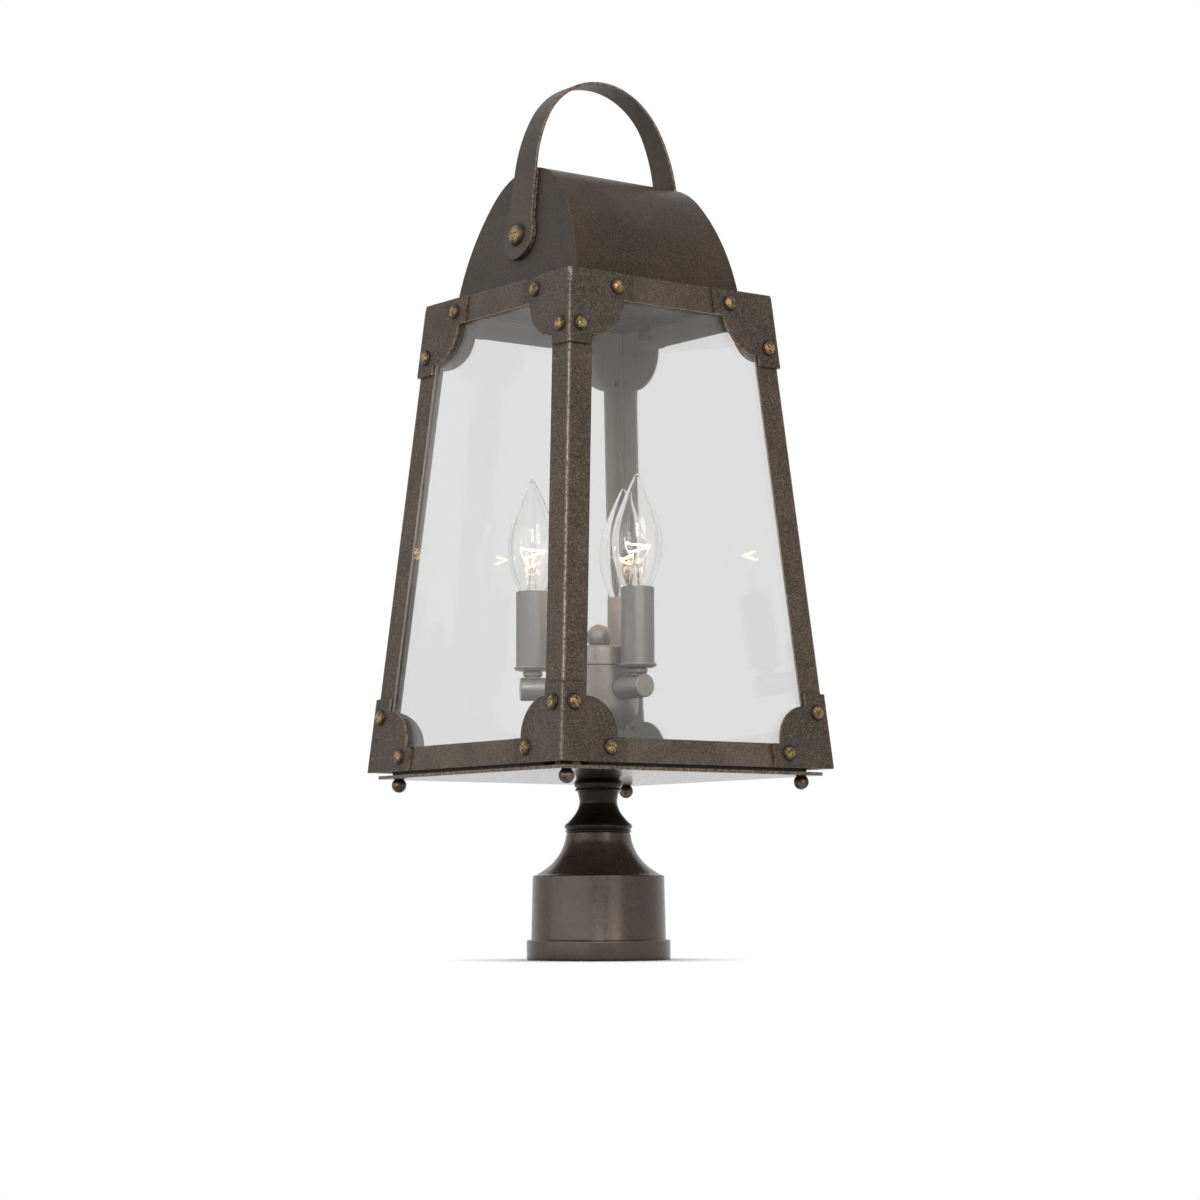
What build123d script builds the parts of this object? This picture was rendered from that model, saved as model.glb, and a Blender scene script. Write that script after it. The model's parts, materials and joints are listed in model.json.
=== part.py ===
from build123d import *
import math
import os

# Post-top lantern: a riveted, glazed sheet-metal body on a turned post fitter.
# Sizes are in millimetres and angles in degrees. Z is up, with zero at the foot of the fitter.
# The front side, with one arched end of the roof, faces -Y, and the handle spans along Y.

# Post fitter casting
socket_radius = 38.5
socket_depth = 50.0
foot_ring_radius = 46.0
foot_ring_height = 13.0
foot_ring_round = 1.3
fitter_foot_radius = 43.1
fitter_shoulder_radius = 42.2
fitter_shoulder_height = 54.0
fitter_shoulder_round = 1.2
fitter_bell_radius = 38.3
fitter_bell_rise = 1.8
fitter_bell_mid_radius = 26.0
fitter_bell_mid_rise = 12.0
fitter_top_radius = 20.5
fitter_height = 81.3
fitter_stop_width = 5.5
fitter_wall = 3.3
fitter_cone_drop = 8.2

# Neck casting
neck_height = 35.2
neck_band_radius = 21.8
neck_band_height = 6.1
neck_band_round = 0.9
neck_waist_radius = 12.1
neck_waist_rise = 19.7
neck_bead_radius = 15.6
neck_bead_rise = 26.6
neck_bead_foot_radius = 13.4
neck_top_radius = 14.2

# Threaded tube that clamps the fitter, neck, base plate and candle cluster together
nipple_radius = 5.0
nipple_bore_radius = 3.5
nipple_clearance = 0.2
nipple_overrun = 2.0
nipple_nut_flats = 17.0
nipple_nut_height = 5.0

# Base plate, the gasket strips on it and the ball-headed screws under it
plate_inset = 5.3
plate_thickness = 2.2
plate_corner_round = 1.5
gasket_thickness = 2.1
gasket_width = 9.0
gasket_inset = 4.5
screw_inset = 15.4
screw_radius = 1.5
screw_ball_radius = 4.8
screw_collar_radius = 3.2
screw_collar_height = 0.3
screw_tip_overrun = 0.7
screw_hole_clearance = 0.25
thread_clearance = 0.05

# Frame: four leaning sides, drawn to the outer faces of the corner gussets
frame_height = 306.4
frame_half_bottom = 107.8
frame_half_top = 81.0
frame_sheet = 1.5
post_leg_width = 17.7
top_rail_height = 16.9
bottom_rail_height = 15.0
rail_flange_width = 12.0
tab_size = 21.0
tab_boss_radius = 3.4
tab_boss_height = 4.0

# Corner gussets: folded plates with a round lobe over each inside corner of the frame
gusset_sheet = 1.8
gusset_rail_reach = 49.0
gusset_post_reach = 47.6
gusset_lobe_radius = 24.5
gusset_rail_rivet_reach = 36.8
gusset_post_rivet_reach = 35.4
gusset_rivet_edge = 9.0
gusset_rivet_head_radius = 4.95
gusset_rivet_head_height = 3.0
gusset_rivet_radius = 2.0
rivet_clearance = 0.05

# Glass and the clips behind it
glass_thickness = 3.0
glass_corner_gap = 0.5
glass_top_gap = 0.5
clip_sheet = 1.0
clip_width = 12.0
clip_height = 9.0
clip_foot = 7.5
clip_offset = 42.0

# Roof: a barrel vault with leaning arched ends
roof_sheet = 1.2
roof_half_width = 66.4
roof_flank_lean = 7.5
roof_flank_radius = 119.5
roof_crown_radius = 49.4
roof_half_length = 65.2
roof_end_lean = 7.63
crown_sheet = 1.5

# Handle strap, the pads under its feet and the rivets through them
strap_sheet = 2.0
pad_sheet = 1.2
strap_eye_radius = 16.0
strap_foot_half = 14.0
strap_mid_half = 8.9
strap_top_half = 8.2
strap_rivet_rise = 36.0
strap_bend_rise = 81.8
strap_mid_rise = 124.0
strap_shoulder_radius = 104.0
strap_crown_radius = 52.5
strap_rivet_head_radius = 7.2
strap_rivet_head_height = 4.6
strap_rivet_radius = 3.0
strap_rivet_tail_radius = 5.5
strap_rivet_tail_height = 1.8

# Candle cluster
stem_height = 28.3
stem_radius = 8.0
cup_radius = 25.3
cup_foot_radius = 12.0
cup_height = 40.5
cup_bowl_height = 14.0
cup_belly_radius = 21.3
cup_belly_rise = 6.3
cup_wall = 1.5
lid_height = 12.5
lid_edge_round = 2.0
finial_radius = 8.15
finial_neck_radius = 3.8
finial_stud_radius = 2.5
finial_stud_length = 6.0
arm_count = 3
arm_rise = 26.0
arm_radius = 7.5
arm_wall = 1.2
arm_reach = 49.0
arm_end_round = 0.9
arm_clearance = 0.05
candle_offset = 41.0
bead_radius = 6.4
bead_foot_radius = 4.8
bead_height = 4.3
pan_radius = 12.1
pan_thickness = 2.0
pan_hole_radius = 3.5
sleeve_radius = 10.7
sleeve_wall = 0.7
sleeve_height = 49.2
socket_body_radius = 8.3
socket_body_drop = 4.0
socket_wall = 2.1
socket_well_depth = 22.7

# Bulbs
bulb_clearance = 0.3
bulb_tip_gap = 0.3
bulb_contact_radius = 2.5
bulb_contact_height = 1.5
bulb_base_length = 20.0
bulb_neck_radius = 5.6
bulb_radius = 16.2
bulb_height = 73.0
bulb_belly_rise = 28.0
bulb_shoulder = (0.79, 0.43)
bulb_taper = (0.82, 0.37)
bulb_tip_radius = 1.6
bulb_tip_turn = 27.2
bulb_wall = 0.7
mount_foot_radius = 3.2
mount_top_radius = 1.8
mount_height = 17.0
lead_radius = 0.35
lead_root_rise = 12.0
lead_spread = 7.0
lead_rise = 32.0
lead_joint_radius = 0.42

# Heights of the stacked parts
neck_z = fitter_height
plate_z = neck_z + neck_height
seat_z = plate_z + plate_thickness
frame_z = seat_z + gasket_thickness
crown_z = frame_z + frame_height
cup_z = seat_z + stem_height
lid_z = cup_z + cup_height
arm_z = cup_z + arm_rise
pan_z = arm_z + arm_radius + bead_height
sleeve_z = pan_z + pan_thickness
sleeve_top_z = sleeve_z + sleeve_height
socket_top_z = sleeve_top_z - socket_body_drop
well_z = socket_top_z - socket_well_depth
bulb_base_z = well_z + bulb_tip_gap + bulb_contact_height
bulb_base_top_z = bulb_base_z + bulb_base_length
bulb_base_radius = socket_body_radius - socket_wall - bulb_clearance

# Angles and offsets that several parts share
plate_half = frame_half_bottom - plate_inset
screw_offset = frame_half_bottom - screw_inset
frame_lean = math.atan2(frame_half_bottom - frame_half_top, frame_height)
end_lean = math.radians(roof_end_lean)
glass_depth = gusset_sheet + frame_sheet
flange_z = frame_z + frame_sheet
ceiling_z = crown_z - crown_sheet
side_turns = {"front": 0, "right": 90, "rear": 180, "left": 270}
corner_turns = {"front_right": 0, "rear_right": 90, "rear_left": 180, "front_left": 270}
far = 400.0


def turned(*edges):
    """Solid of revolution about Z, from edges drawn as (radius, height)."""
    return revolve(Plane.XZ * make_face(Curve() + list(edges)), axis=Axis.Z)


def disc(radius, low, high):
    """Cylinder about Z between two heights."""
    return Pos(0, 0, low) * extrude(Circle(radius), high - low)


def tube(outer, inner, low, high):
    """Ring about Z between two heights."""
    return Pos(0, 0, low) * extrude(Circle(outer) - Circle(inner), high - low)


def slab(low, high):
    """Block wider than the lantern between two heights."""
    return Pos(0, 0, low) * extrude(Rectangle(far, far), high - low)


def block(x, y, z):
    """Box between pairs of limits along X, Y and Z."""
    size = (x[1] - x[0], y[1] - y[0], z[1] - z[0])
    return Pos((x[0] + x[1]) / 2, (y[0] + y[1]) / 2, (z[0] + z[1]) / 2) * Box(*size)


def turn(angle, shape):
    """Turn a shape about Z."""
    return Rot(0, 0, angle) * shape


def arc_between(centre, radius, start, end):
    """Arc round a centre from one angle in radians to another."""
    def at(angle):
        return (centre[0] + radius * math.cos(angle), centre[1] + radius * math.sin(angle))
    return ThreePointArc(at(start), at((start + end) / 2), at(end))


def half_width(z, depth):
    """Half-width of the frame at a height, at a depth behind the gusset faces."""
    return frame_half_bottom - depth / math.cos(frame_lean) - (z - frame_z) * math.tan(frame_lean)


def side_plane(depth):
    """Plane of the front side: x across, y up the slope and z outwards."""
    outwards = (0, -math.cos(frame_lean), math.sin(frame_lean))
    return Plane(origin=(0, -half_width(frame_z, depth), frame_z), x_dir=(1, 0, 0), z_dir=outwards)


def up_slope(z):
    """Distance up a leaning side to a height."""
    return (z - frame_z) / math.cos(frame_lean)


def sloped(*points):
    """Points given as (across, height), laid onto a leaning side."""
    return [(x, up_slope(z)) for x, z in points]


def side_sheet(outline, depth, thickness):
    """Sheet in the front side, from a closed outline and made solid inwards."""
    return extrude(side_plane(depth) * make_face(outline), -thickness)


def four_sided(low, high, half_low, half_high):
    """Outline of a sheet that is symmetrical about the middle of a leaning side."""
    corners = sloped((-half_low, low), (half_low, low), (half_high, high), (-half_high, high))
    return Polyline(*corners, close=True)


def rivet(head_radius, head_height, radius, grip, tail_radius=0.0, tail_height=0.0):
    """Round-headed rivet with its head above XY and its shank below."""
    ball = (head_radius ** 2 + head_height ** 2) / (2 * head_height)
    rim = math.asin(head_radius / ball)
    edges = [arc_between((0, head_height - ball), ball, math.pi / 2, math.pi / 2 - rim)]
    points = [(head_radius, 0), (radius, 0), (radius, -grip)]
    if tail_height:
        points += [(tail_radius, -grip), (tail_radius, -grip - tail_height)]
    points += [(0, points[-1][1]), (0, head_height)]
    return turned(*edges, Polyline(*points))


# Post fitter, neck and the threaded tube
def make_fitter():
    lip = foot_ring_round
    foot = (fitter_foot_radius, foot_ring_height)
    shoulder = (fitter_shoulder_radius, fitter_shoulder_height - fitter_shoulder_round)
    shoulder_top = (fitter_shoulder_radius - fitter_shoulder_round, fitter_shoulder_height)
    bell_foot = (fitter_bell_radius, fitter_shoulder_height + fitter_bell_rise)
    bell_mid = (fitter_bell_mid_radius, fitter_shoulder_height + fitter_bell_mid_rise)
    bell_top = (fitter_top_radius, fitter_height)
    stop_radius = socket_radius - fitter_stop_width
    cone_z = fitter_shoulder_height
    cone_top = (fitter_top_radius - fitter_wall, fitter_height - fitter_cone_drop)
    hole = nipple_radius + nipple_clearance
    web_z = fitter_height - fitter_wall
    return turned(
        Line((socket_radius, 0), (foot_ring_radius - lip, 0)),
        arc_between((foot_ring_radius - lip, lip), lip, -math.pi / 2, 0),
        Line((foot_ring_radius, lip), (foot_ring_radius, foot_ring_height - lip)),
        arc_between((foot_ring_radius - lip, foot_ring_height - lip), lip, 0, math.pi / 2),
        Polyline((foot_ring_radius - lip, foot_ring_height), foot, shoulder),
        arc_between((shoulder_top[0], shoulder[1]), fitter_shoulder_round, 0, math.pi / 2),
        Line(shoulder_top, bell_foot),
        ThreePointArc(bell_foot, bell_mid, bell_top),
        Polyline(
            bell_top, (hole, fitter_height), (hole, web_z), (cone_top[0], web_z), cone_top,
            (stop_radius, cone_z), (stop_radius, socket_depth), (socket_radius, socket_depth),
            (socket_radius, 0),
        ),
    )


def make_neck():
    lip = neck_band_round
    band_top = neck_z + neck_band_height
    waist = (neck_waist_radius, neck_z + neck_waist_rise)
    bead_foot = (neck_bead_foot_radius, neck_z + neck_bead_rise)
    bead_belly = (neck_bead_radius, (bead_foot[1] + plate_z) / 2)
    hole = nipple_radius + nipple_clearance
    return turned(
        Line((hole, neck_z), (neck_band_radius - lip, neck_z)),
        arc_between((neck_band_radius - lip, neck_z + lip), lip, -math.pi / 2, 0),
        Line((neck_band_radius, neck_z + lip), (neck_band_radius, band_top - lip)),
        arc_between((neck_band_radius - lip, band_top - lip), lip, 0, math.pi / 2),
        ThreePointArc((neck_band_radius - lip, band_top), waist, bead_foot),
        ThreePointArc(bead_foot, bead_belly, (neck_top_radius, plate_z)),
        Polyline((neck_top_radius, plate_z), (hole, plate_z), (hole, neck_z)),
    )


def nut_heights():
    """Foot of each nut: under the fitter's web and on the floor of the cup."""
    return fitter_height - fitter_wall - nipple_nut_height, cup_z + cup_wall


def make_nipple():
    low, high = nut_heights()
    top = high + nipple_nut_height + nipple_overrun
    return tube(nipple_radius, nipple_bore_radius, low - nipple_overrun, top)


def make_nipple_nuts():
    outline = RegularPolygon(nipple_nut_flats / 2, 6, major_radius=False)
    outline -= Circle(nipple_radius + thread_clearance)
    return [Pos(0, 0, z) * extrude(outline, nipple_nut_height) for z in nut_heights()]


# Base plate, gasket strips and ball-headed screws
def screw_places():
    return GridLocations(2 * screw_offset, 2 * screw_offset, 2, 2)


def make_base_plate():
    outline = RectangleRounded(2 * plate_half, 2 * plate_half, plate_corner_round)
    outline -= Circle(nipple_radius + nipple_clearance)
    outline -= screw_places() * Circle(screw_radius + screw_hole_clearance)
    return Pos(0, 0, plate_z) * extrude(outline, plate_thickness)


def flange_half_length():
    """Half the length of a rail's flange, which stops at the corner tabs."""
    return half_width(flange_z, glass_depth) - tab_size


def make_gaskets():
    outer = half_width(frame_z, 0) - gasket_inset
    long = flange_half_length()
    strip = block((-long, long), (-outer, -outer + gasket_width), (seat_z, frame_z))
    return [turn(angle, strip) for angle in side_turns.values()]


def make_ball_screw(place):
    collar_z = plate_z - screw_collar_height
    ball_z = collar_z - math.sqrt(screw_ball_radius ** 2 - screw_collar_radius ** 2)
    tip_z = flange_z + tab_boss_height + screw_tip_overrun
    ball = Pos(0, 0, ball_z) * Sphere(screw_ball_radius)
    ball &= slab(ball_z - screw_ball_radius, collar_z)
    collar = disc(screw_collar_radius, collar_z, plate_z)
    shank = disc(screw_radius, plate_z, tip_z)
    return place * (ball + collar + shank)


# Frame
def rivet_spots(top):
    """Rivet planes of the front right gusset: on its rail and post, front then right side."""
    spots = []
    on_rail = (gusset_rail_rivet_reach, gusset_rivet_edge)
    on_post = (gusset_rivet_edge, gusset_post_rivet_reach)
    for across, along in (on_rail, on_post):
        z = crown_z - along if top else frame_z + along
        x = half_width(z, 0) - across
        on_front = side_plane(0) * Pos(x, up_slope(z), 0)
        on_right = turn(90, side_plane(0) * Pos(-x, up_slope(z), 0))
        spots.append((on_front, on_right))
    return spots


def rivet_holes(places):
    """Cutters for rivet shanks, long enough for the gusset and the sheet behind it."""
    grip = gusset_sheet + frame_sheet
    cutter = Pos(0, 0, -grip) * extrude(Circle(gusset_rivet_radius + rivet_clearance), 2 * grip)
    return [place * cutter for place in places]


def folded(outline, depth, thickness):
    """Corner piece folded over the front right edge, from its outline on the front side."""
    leg = side_sheet(outline, depth, thickness)
    return leg + turn(90, mirror(leg, about=Plane.YZ))


def make_post():
    low = frame_z - post_leg_width
    high = crown_z + post_leg_width
    points = []
    for z, inset in ((low, post_leg_width), (low, 0), (high, 0), (high, post_leg_width)):
        points.append((half_width(z, gusset_sheet) - inset, z))
    post = folded(Polyline(*sloped(*points), close=True), gusset_sheet, frame_sheet)
    return (post & slab(frame_z, crown_z)) - rivet_holes([*rivet_spots(True)[1], *rivet_spots(False)[1]])


def rail_sheet(low, high):
    """Flat part of a rail, between the posts of the front side."""
    halves = [half_width(z, gusset_sheet) - post_leg_width for z in (low, high)]
    return side_sheet(four_sided(low, high, *halves), gusset_sheet, frame_sheet) & slab(frame_z, crown_z)


def rail_holes(top):
    on_front, on_right = rivet_spots(top)[0]
    return rivet_holes([on_front, turn(-90, on_right)])


def make_top_rail():
    low = crown_z - top_rail_height
    return rail_sheet(low, crown_z + frame_sheet) - rail_holes(True)


def make_bottom_rail():
    rail = rail_sheet(frame_z - frame_sheet, frame_z + bottom_rail_height)
    outer = half_width(frame_z, gusset_sheet + frame_sheet / 2)
    inner = half_width(frame_z, glass_depth) - rail_flange_width
    long = flange_half_length()
    flange = block((-long, long), (-outer, -inner), (frame_z, flange_z))
    return rail + flange - rail_holes(False)


def make_gusset(top):
    """Folded plate: an arm as high as the rail, one as wide as the post and a quarter-round lobe."""
    edge_z, step = (crown_z, -1) if top else (frame_z, 1)
    arm_height = top_rail_height if top else bottom_rail_height

    def on_side(across, along):
        z = edge_z + step * along
        return (half_width(z, 0) - across, up_slope(z))

    def on_lobe(angle):
        across = post_leg_width + gusset_lobe_radius * math.cos(angle)
        return on_side(across, arm_height + gusset_lobe_radius * math.sin(angle))

    over = gusset_sheet
    along_rail = [
        on_side(0, -over), on_side(gusset_rail_reach, -over), on_side(gusset_rail_reach, arm_height), on_lobe(0),
    ]
    along_post = [
        on_lobe(math.pi / 2), on_side(post_leg_width, gusset_post_reach), on_side(0, gusset_post_reach),
    ]
    lobe = ThreePointArc(on_lobe(0), on_lobe(math.pi / 4), on_lobe(math.pi / 2))
    outline = Curve() + [Polyline(*along_rail), lobe, Polyline(*along_post, along_rail[0])]
    plate = folded(outline, 0, gusset_sheet) & slab(frame_z, crown_z)
    rail_pair, post_pair = rivet_spots(top)
    return plate - rivet_holes([*rail_pair, *post_pair])


def make_gusset_rivets():
    one = rivet(gusset_rivet_head_radius, gusset_rivet_head_height, gusset_rivet_radius, glass_depth)
    rivets = []
    for angle in corner_turns.values():
        for top in (True, False):
            for pair in rivet_spots(top):
                rivets += [turn(angle, place * one) for place in pair]
    return rivets


def make_corner_tabs():
    """Threaded tabs inside the foot of each post, on a boss that stands on the base plate."""
    outer = half_width(flange_z, glass_depth)
    inner = outer - tab_size
    boss_top = flange_z + tab_boss_height
    tab = block((inner, outer), (-outer, -inner), (frame_z, flange_z))
    tab += Pos(screw_offset, -screw_offset, 0) * disc(tab_boss_radius, seat_z, boss_top)
    tab -= Pos(screw_offset, -screw_offset, 0) * disc(screw_radius + thread_clearance, seat_z, boss_top)
    return [turn(angle, tab) for angle in corner_turns.values()]


def make_glass():
    low = flange_z
    high = ceiling_z - glass_top_gap
    edge = glass_thickness / math.cos(frame_lean) + glass_corner_gap
    halves = [half_width(z, glass_depth) - edge for z in (low - edge, high + edge)]
    outline = four_sided(low - edge, high + edge, *halves)
    return side_sheet(outline, glass_depth, glass_thickness) & slab(low, high)


def make_glass_clips():
    depth = glass_depth + glass_thickness
    clips = []
    for seat, step in ((flange_z, 1), (ceiling_z, -1)):
        far_end = seat + step * clip_height
        root = seat - step * clip_sheet
        edges = (clip_offset, clip_offset + clip_width)
        points = [(edges[0], root), (edges[1], root), (edges[1], far_end), (edges[0], far_end)]
        clip = side_sheet(Polyline(*sloped(*points), close=True), depth, clip_sheet)
        clip &= slab(*sorted((seat, far_end)))
        outer = half_width(seat + step * clip_sheet, depth + clip_sheet / 2)
        clip += block(edges, (-outer, -outer + clip_foot), sorted((seat, seat + step * clip_sheet)))
        for angle in side_turns.values():
            clips += [turn(angle, clip), turn(angle, mirror(clip, about=Plane.YZ))]
    return clips


# Roof
def make_crown_plate():
    side = 2 * half_width(ceiling_z, glass_depth)
    return Pos(0, 0, ceiling_z) * extrude(Rectangle(side, side), crown_sheet, taper=math.degrees(frame_lean))


def roof_core(inset):
    """Long vault with the roof's arched section, shrunk by an inset."""
    lean = math.radians(roof_flank_lean)
    flank = (roof_half_width - roof_flank_radius * math.cos(lean), crown_z - roof_flank_radius * math.sin(lean))
    change = math.acos(-flank[0] / (roof_flank_radius - roof_crown_radius))
    crown = (0, flank[1] + (roof_flank_radius - roof_crown_radius) * math.sin(change))
    flank_radius = roof_flank_radius - inset
    foot = math.asin((crown_z - flank[1]) / flank_radius)
    right = arc_between(flank, flank_radius, foot, change)
    top = arc_between(crown, roof_crown_radius - inset, change, math.pi - change)
    left = arc_between((-flank[0], flank[1]), flank_radius, math.pi - change, math.pi - foot)
    section = make_face(Curve() + [right, top, left, Line(left @ 1, right @ 0)])
    return extrude(Plane.XZ * section, far / 2, both=True)


def roof_span(inset):
    """Wedge between the leaning roof ends, with both faces moved in by an inset."""
    low = roof_half_length - inset / math.cos(end_lean)
    rise = 2 * roof_half_width
    high = low - rise * math.tan(end_lean)
    points = ((-low, crown_z), (low, crown_z), (high, crown_z + rise), (-high, crown_z + rise))
    return extrude(Plane.YZ * make_face(Polyline(*points, close=True)), far / 2, both=True)


def make_roof_barrel():
    return (roof_core(0) - roof_core(roof_sheet)) & roof_span(0)


def make_roof_ends():
    """Front and rear end plates, inside the mouth of the barrel, with a rivet hole each."""
    plates = (roof_core(roof_sheet) & roof_span(0)) - roof_span(roof_sheet) - strap_rivet_holes()
    return plates.solids().sort_by(Axis.Y)


# Handle
def strap_plane(front):
    """Plane on the outer face of a handle foot at its rivet, facing outwards."""
    out = (pad_sheet + strap_sheet) / math.cos(end_lean)
    y = roof_half_length - strap_rivet_rise * math.tan(end_lean) + out
    side = -1 if front else 1
    outwards = (0, side * math.cos(end_lean), math.sin(end_lean))
    return Plane(origin=(0, side * y, crown_z + strap_rivet_rise), x_dir=(1, 0, 0), z_dir=outwards)


def strap_rivet_holes():
    grip = strap_sheet + pad_sheet + roof_sheet
    cutter = Pos(0, 0, -2 * grip) * extrude(Circle(strap_rivet_radius + rivet_clearance), 3 * grip)
    return [strap_plane(front) * cutter for front in (True, False)]


def strap_outline():
    """Front view of the strap: a round eye at the rivet and a leg that tapers to the top."""
    eye_z = crown_z + strap_rivet_rise
    mid_z = crown_z + strap_mid_rise
    top_z = crown_z + 2 * roof_half_width + strap_crown_radius
    right = [(strap_foot_half, eye_z), (strap_mid_half, mid_z), (strap_top_half, top_z)]
    left = [(-x, z) for x, z in reversed(right)]
    outline = make_face(Polyline(*right, *left, close=True)) + Pos(0, eye_z) * Circle(strap_eye_radius)
    return extrude(Plane.XZ * outline, far / 2, both=True)


def strap_path(inset):
    """Edges of one face of the strap in side view, from the front foot to the rear foot."""
    bend_z = crown_z + strap_bend_rise
    foot_z = crown_z + strap_rivet_rise - 1.5 * strap_eye_radius
    out = (pad_sheet + strap_sheet) / math.cos(end_lean)
    bend_y = roof_half_length - strap_bend_rise * math.tan(end_lean) + out
    radius = strap_shoulder_radius
    shoulder = (bend_y - radius * math.cos(end_lean), bend_z - radius * math.sin(end_lean))
    change = math.acos(-shoulder[0] / (radius - strap_crown_radius))
    crown = (0, shoulder[1] + (radius - strap_crown_radius) * math.sin(change))
    rear = arc_between(shoulder, radius - inset, change, end_lean)
    front = arc_between((-shoulder[0], shoulder[1]), radius - inset, math.pi - end_lean, math.pi - change)
    top = arc_between(crown, strap_crown_radius - inset, math.pi - change, change)
    drop = bend_z - foot_z
    foot = (rear @ 1) + Vector(drop * math.tan(end_lean), -drop)
    return [Line((-foot.X, foot.Y), front @ 0), front, top, rear, Line(rear @ 1, foot)]


def make_handle():
    outer = strap_path(0)
    inner = strap_path(strap_sheet)
    ends = [Line(outer[0] @ 0, inner[0] @ 0), Line(outer[-1] @ 1, inner[-1] @ 1)]
    band = extrude(Plane.YZ * make_face(Curve() + outer + inner + ends), far / 2, both=True)
    return (band & strap_outline()) - strap_rivet_holes()


def make_handle_pads():
    """Plates of the strap's outline between its feet and the roof ends."""
    layer = (roof_span(-pad_sheet) - roof_span(0)) & roof_core(0)
    return ((layer & strap_outline()) - strap_rivet_holes()).solids()


def make_handle_rivets():
    grip = strap_sheet + pad_sheet + roof_sheet
    one = rivet(
        strap_rivet_head_radius, strap_rivet_head_height, strap_rivet_radius, grip,
        strap_rivet_tail_radius, strap_rivet_tail_height,
    )
    return [strap_plane(front) * one for front in (True, False)]


# Candle cluster
def arm_turns():
    return [360 * i / arm_count for i in range(arm_count)]


def make_stem():
    return tube(stem_radius, nipple_radius + nipple_clearance, seat_z, cup_z)


def arm_rod(radius, start, end):
    """Rod along +X at the height of the arms."""
    return Plane(origin=(start, 0, arm_z), z_dir=(1, 0, 0)) * extrude(Circle(radius), end - start)


def make_cup():
    bowl_z = cup_z + cup_bowl_height
    hole = nipple_radius + nipple_clearance
    inner = cup_radius - cup_wall
    floor_z = cup_z + cup_wall
    belly = (cup_belly_radius, cup_z + cup_belly_rise)
    cup = turned(
        Line((hole, cup_z), (cup_foot_radius, cup_z)),
        ThreePointArc((cup_foot_radius, cup_z), belly, (cup_radius, bowl_z)),
        Polyline((cup_radius, bowl_z), (cup_radius, lid_z), (inner, lid_z), (inner, bowl_z)),
        ThreePointArc(
            (inner, bowl_z), (belly[0] - cup_wall, belly[1] + cup_wall), (cup_foot_radius, floor_z)
        ),
        Polyline((cup_foot_radius, floor_z), (hole, floor_z), (hole, cup_z)),
    )
    cutter = arm_rod(arm_radius + arm_clearance, 0.5 * cup_radius, 2 * cup_radius)
    return cup - [turn(angle, cutter) for angle in arm_turns()]


def make_lid():
    top_z = lid_z + lid_height
    inner = cup_radius - cup_wall
    hole = finial_stud_radius + rivet_clearance
    edge = lid_edge_round
    return turned(
        Line((cup_radius, lid_z), (cup_radius, top_z - edge)),
        arc_between((cup_radius - edge, top_z - edge), edge, 0, math.pi / 2),
        Polyline(
            (cup_radius - edge, top_z), (hole, top_z), (hole, top_z - cup_wall),
            (inner, top_z - cup_wall), (inner, lid_z), (cup_radius, lid_z),
        ),
    )


def make_finial():
    foot_z = lid_z + lid_height
    ball_z = foot_z + math.sqrt(finial_radius ** 2 - finial_neck_radius ** 2)
    ball = (Pos(0, 0, ball_z) * Sphere(finial_radius)) & slab(foot_z, ball_z + finial_radius)
    return ball + disc(finial_stud_radius, foot_z - finial_stud_length, foot_z)


def make_arm():
    arm = arm_rod(arm_radius, cup_radius - cup_wall, arm_reach)
    arm = fillet(arm.edges().sort_by(Axis.X)[-1], arm_end_round)
    return arm - arm_rod(arm_radius - arm_wall, cup_radius - 2 * cup_wall, arm_reach - arm_wall)


def make_bead():
    """Round bead that saddles the arm and carries the drip pan."""
    crest_z = arm_z + arm_radius
    belly_z = (crest_z + pan_z) / 2
    bead = turned(
        Line((0, crest_z), (bead_foot_radius, crest_z)),
        ThreePointArc((bead_foot_radius, crest_z), (bead_radius, belly_z), (bead_foot_radius, pan_z)),
        Polyline((bead_foot_radius, pan_z), (0, pan_z), (0, crest_z)),
    )
    bead += disc(bead_foot_radius, arm_z, crest_z)
    return (Pos(candle_offset, 0, 0) * bead) - arm_rod(arm_radius, 0, arm_reach)


def make_drip_pan():
    return Pos(candle_offset, 0, 0) * tube(pan_radius, pan_hole_radius, pan_z, sleeve_z)


def make_sleeve():
    return Pos(candle_offset, 0, 0) * tube(sleeve_radius, sleeve_radius - sleeve_wall, sleeve_z, sleeve_top_z)


def make_socket():
    body = disc(socket_body_radius, sleeve_z, socket_top_z)
    return Pos(candle_offset, 0, 0) * (body - disc(socket_body_radius - socket_wall, well_z, socket_top_z))


# Bulbs
def make_bulb_base():
    contact = disc(bulb_contact_radius, bulb_base_z - bulb_contact_height, bulb_base_z)
    return Pos(candle_offset, 0, 0) * (contact + disc(bulb_base_radius, bulb_base_z, bulb_base_top_z))


def bulb_outline(inset):
    """Half outline of the flame-shaped glass in four arcs, from its neck to its tip."""
    low = bulb_base_top_z
    high = sleeve_top_z + bulb_height
    belly_z = sleeve_top_z + bulb_belly_rise
    neck = (bulb_neck_radius - inset, low)
    share, rise = bulb_shoulder
    shoulder = (share * bulb_radius - inset, low + rise * (belly_z - low))
    share, rise = bulb_taper
    flank = (share * bulb_radius - inset, belly_z + rise * (high - belly_z))
    belly = ThreePointArc(shoulder, (bulb_radius - inset, belly_z), flank)
    tip_centre = (0, high - bulb_tip_radius)
    tip = arc_between(tip_centre, bulb_tip_radius - inset, math.radians(bulb_tip_turn), math.pi / 2)
    flare = TangentArc(shoulder, neck, tangent=-(belly % 0))
    taper = TangentArc(flank, tip @ 0, tangent=belly % 1)
    return [flare, belly, taper, tip]


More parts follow.
